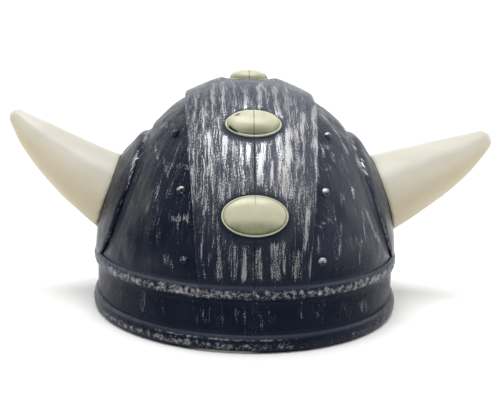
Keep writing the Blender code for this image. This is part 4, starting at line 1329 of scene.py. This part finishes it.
for name, rows, side in (("horn_left", HORN_LEFT, -1.0), ("horn_right", HORN_RIGHT, 1.0)):
    horn = build_horn(name + "_plastic", rows, side, home)
    p, _ = vertex_data(horn.data)
    form = Form(PLATE_RAISE_FOOT, PLATE_RAISE_TOP)
    off = form.above(p)
    _, facing = vertex_data(horn.data)
    # painted shade: darker and warmer where the horn faces down
    store(horn.data, "painted_underside_shade", 1 - smooth(-0.30, 0.48, facing[:, 2]))
    # painted light: a lighter band where the horn faces sideways
    store(horn.data, "painted_side_light", np.exp(-(((facing[:, 2] - 0.14) / 0.30) ** 2)))
    store(horn.data, "root", 1 - smooth(0.5, 5.0, off))
    # painted shadow: near-black where the horn meets the plate, stronger low down
    store(horn.data, "painted_joint_shadow", (1 - smooth(0.5, 1.9, off)) * (0.35 + 0.65 * smooth(82.0, 62.0, p[:, 2])))
    horn.data.materials.clear()
    horn.data.materials.append(horn_finish)
    finish_piece(horn, 45.0, name)

for name, angle, half_width, half_height, rise in STUDS:
    gaps = [row[1:] for row in STUD_GAPS if row[0] == name]
    stud = build_stud(name + "_plastic", angle, half_width, half_height, rise, gaps, home)
    stud.data.materials.append(stud_finish)
    finish_piece(stud, 50.0, name)

# ------------------------------------------------------ floor, light, camera
reach, back_y, curve_r = 2.6, 1.5, 0.6
section = [(-2.2, 0.0), (back_y, 0.0)]
for i in range(1, 13):
    a = 0.5 * math.pi * i / 12
    section.append((back_y + curve_r * math.sin(a), curve_r * (1 - math.cos(a))))
section.append((back_y + curve_r, 3.0))
floor_points = [(sx * reach * 1000, y * 1000, z * 1000) for y, z in section for sx in (-1, 1)]
floor_faces = [(2 * i, 2 * i + 1, 2 * i + 3, 2 * i + 2) for i in range(len(section) - 1)]
floor = build("floor_sweep", floor_points, floor_faces, bpy.context.scene.collection)
floor.data.shade_smooth()
floor.data.materials.append(floor_material())

world = bpy.data.worlds.new("studio")
world.use_nodes = True
world.node_tree.nodes["Background"].inputs[0].default_value = (1.0, 1.0, 1.0, 1.0)
world.node_tree.nodes["Background"].inputs[1].default_value = 0.42
bpy.context.scene.world = world


def area_light(name, place, target, size, power, colour=(1.0, 1.0, 1.0)):
    data = bpy.data.lights.new(name, "AREA")
    data.shape = "RECTANGLE"
    data.size, data.size_y = size
    data.energy = power
    data.color = colour
    light = bpy.data.objects.new(name, data)
    light.location = place
    light.rotation_euler = (Vector(target) - Vector(place)).to_track_quat("-Z", "Y").to_euler()
    bpy.context.scene.collection.objects.link(light)
    return light


area_light("softbox_top", (-0.05, -0.20, 1.25), (0.0, 0.0, 0.08), (0.95, 0.70), 12.0)
area_light("softbox_left", (-1.30, 0.60, 0.60), (0.0, 0.0, 0.08), (1.0, 1.0), 3.8)
area_light("softbox_right", (1.35, 0.35, 0.60), (0.0, 0.0, 0.08), (0.9, 0.9), 4.7)
area_light("softbox_front", (-0.5, -1.5, 0.9), (0.0, 0.0, 0.08), (0.8, 0.6), 2.3)
area_light("backdrop_wash", (0.0, 0.7, 1.7), (0.0, 2.1, 0.5), (3.0, 0.5), 26.0)

lens = bpy.data.cameras.new("photo_camera")
lens.sensor_fit = "HORIZONTAL"
lens.sensor_width = 36.0
lens.lens = FOCAL * 36.0 / FRAME_W
lens.clip_start = 0.01
camera = bpy.data.objects.new("photo_camera", lens)
turn = Matrix((Vector(RIGHT), Vector(UP), Vector(BACK))).transposed().to_4x4()
turn.translation = Vector(EYE) * MM
camera.matrix_world = turn
bpy.context.scene.collection.objects.link(camera)
bpy.context.scene.camera = camera
bpy.context.scene.view_settings.view_transform = "Standard"
bpy.context.scene.view_settings.look = "None"
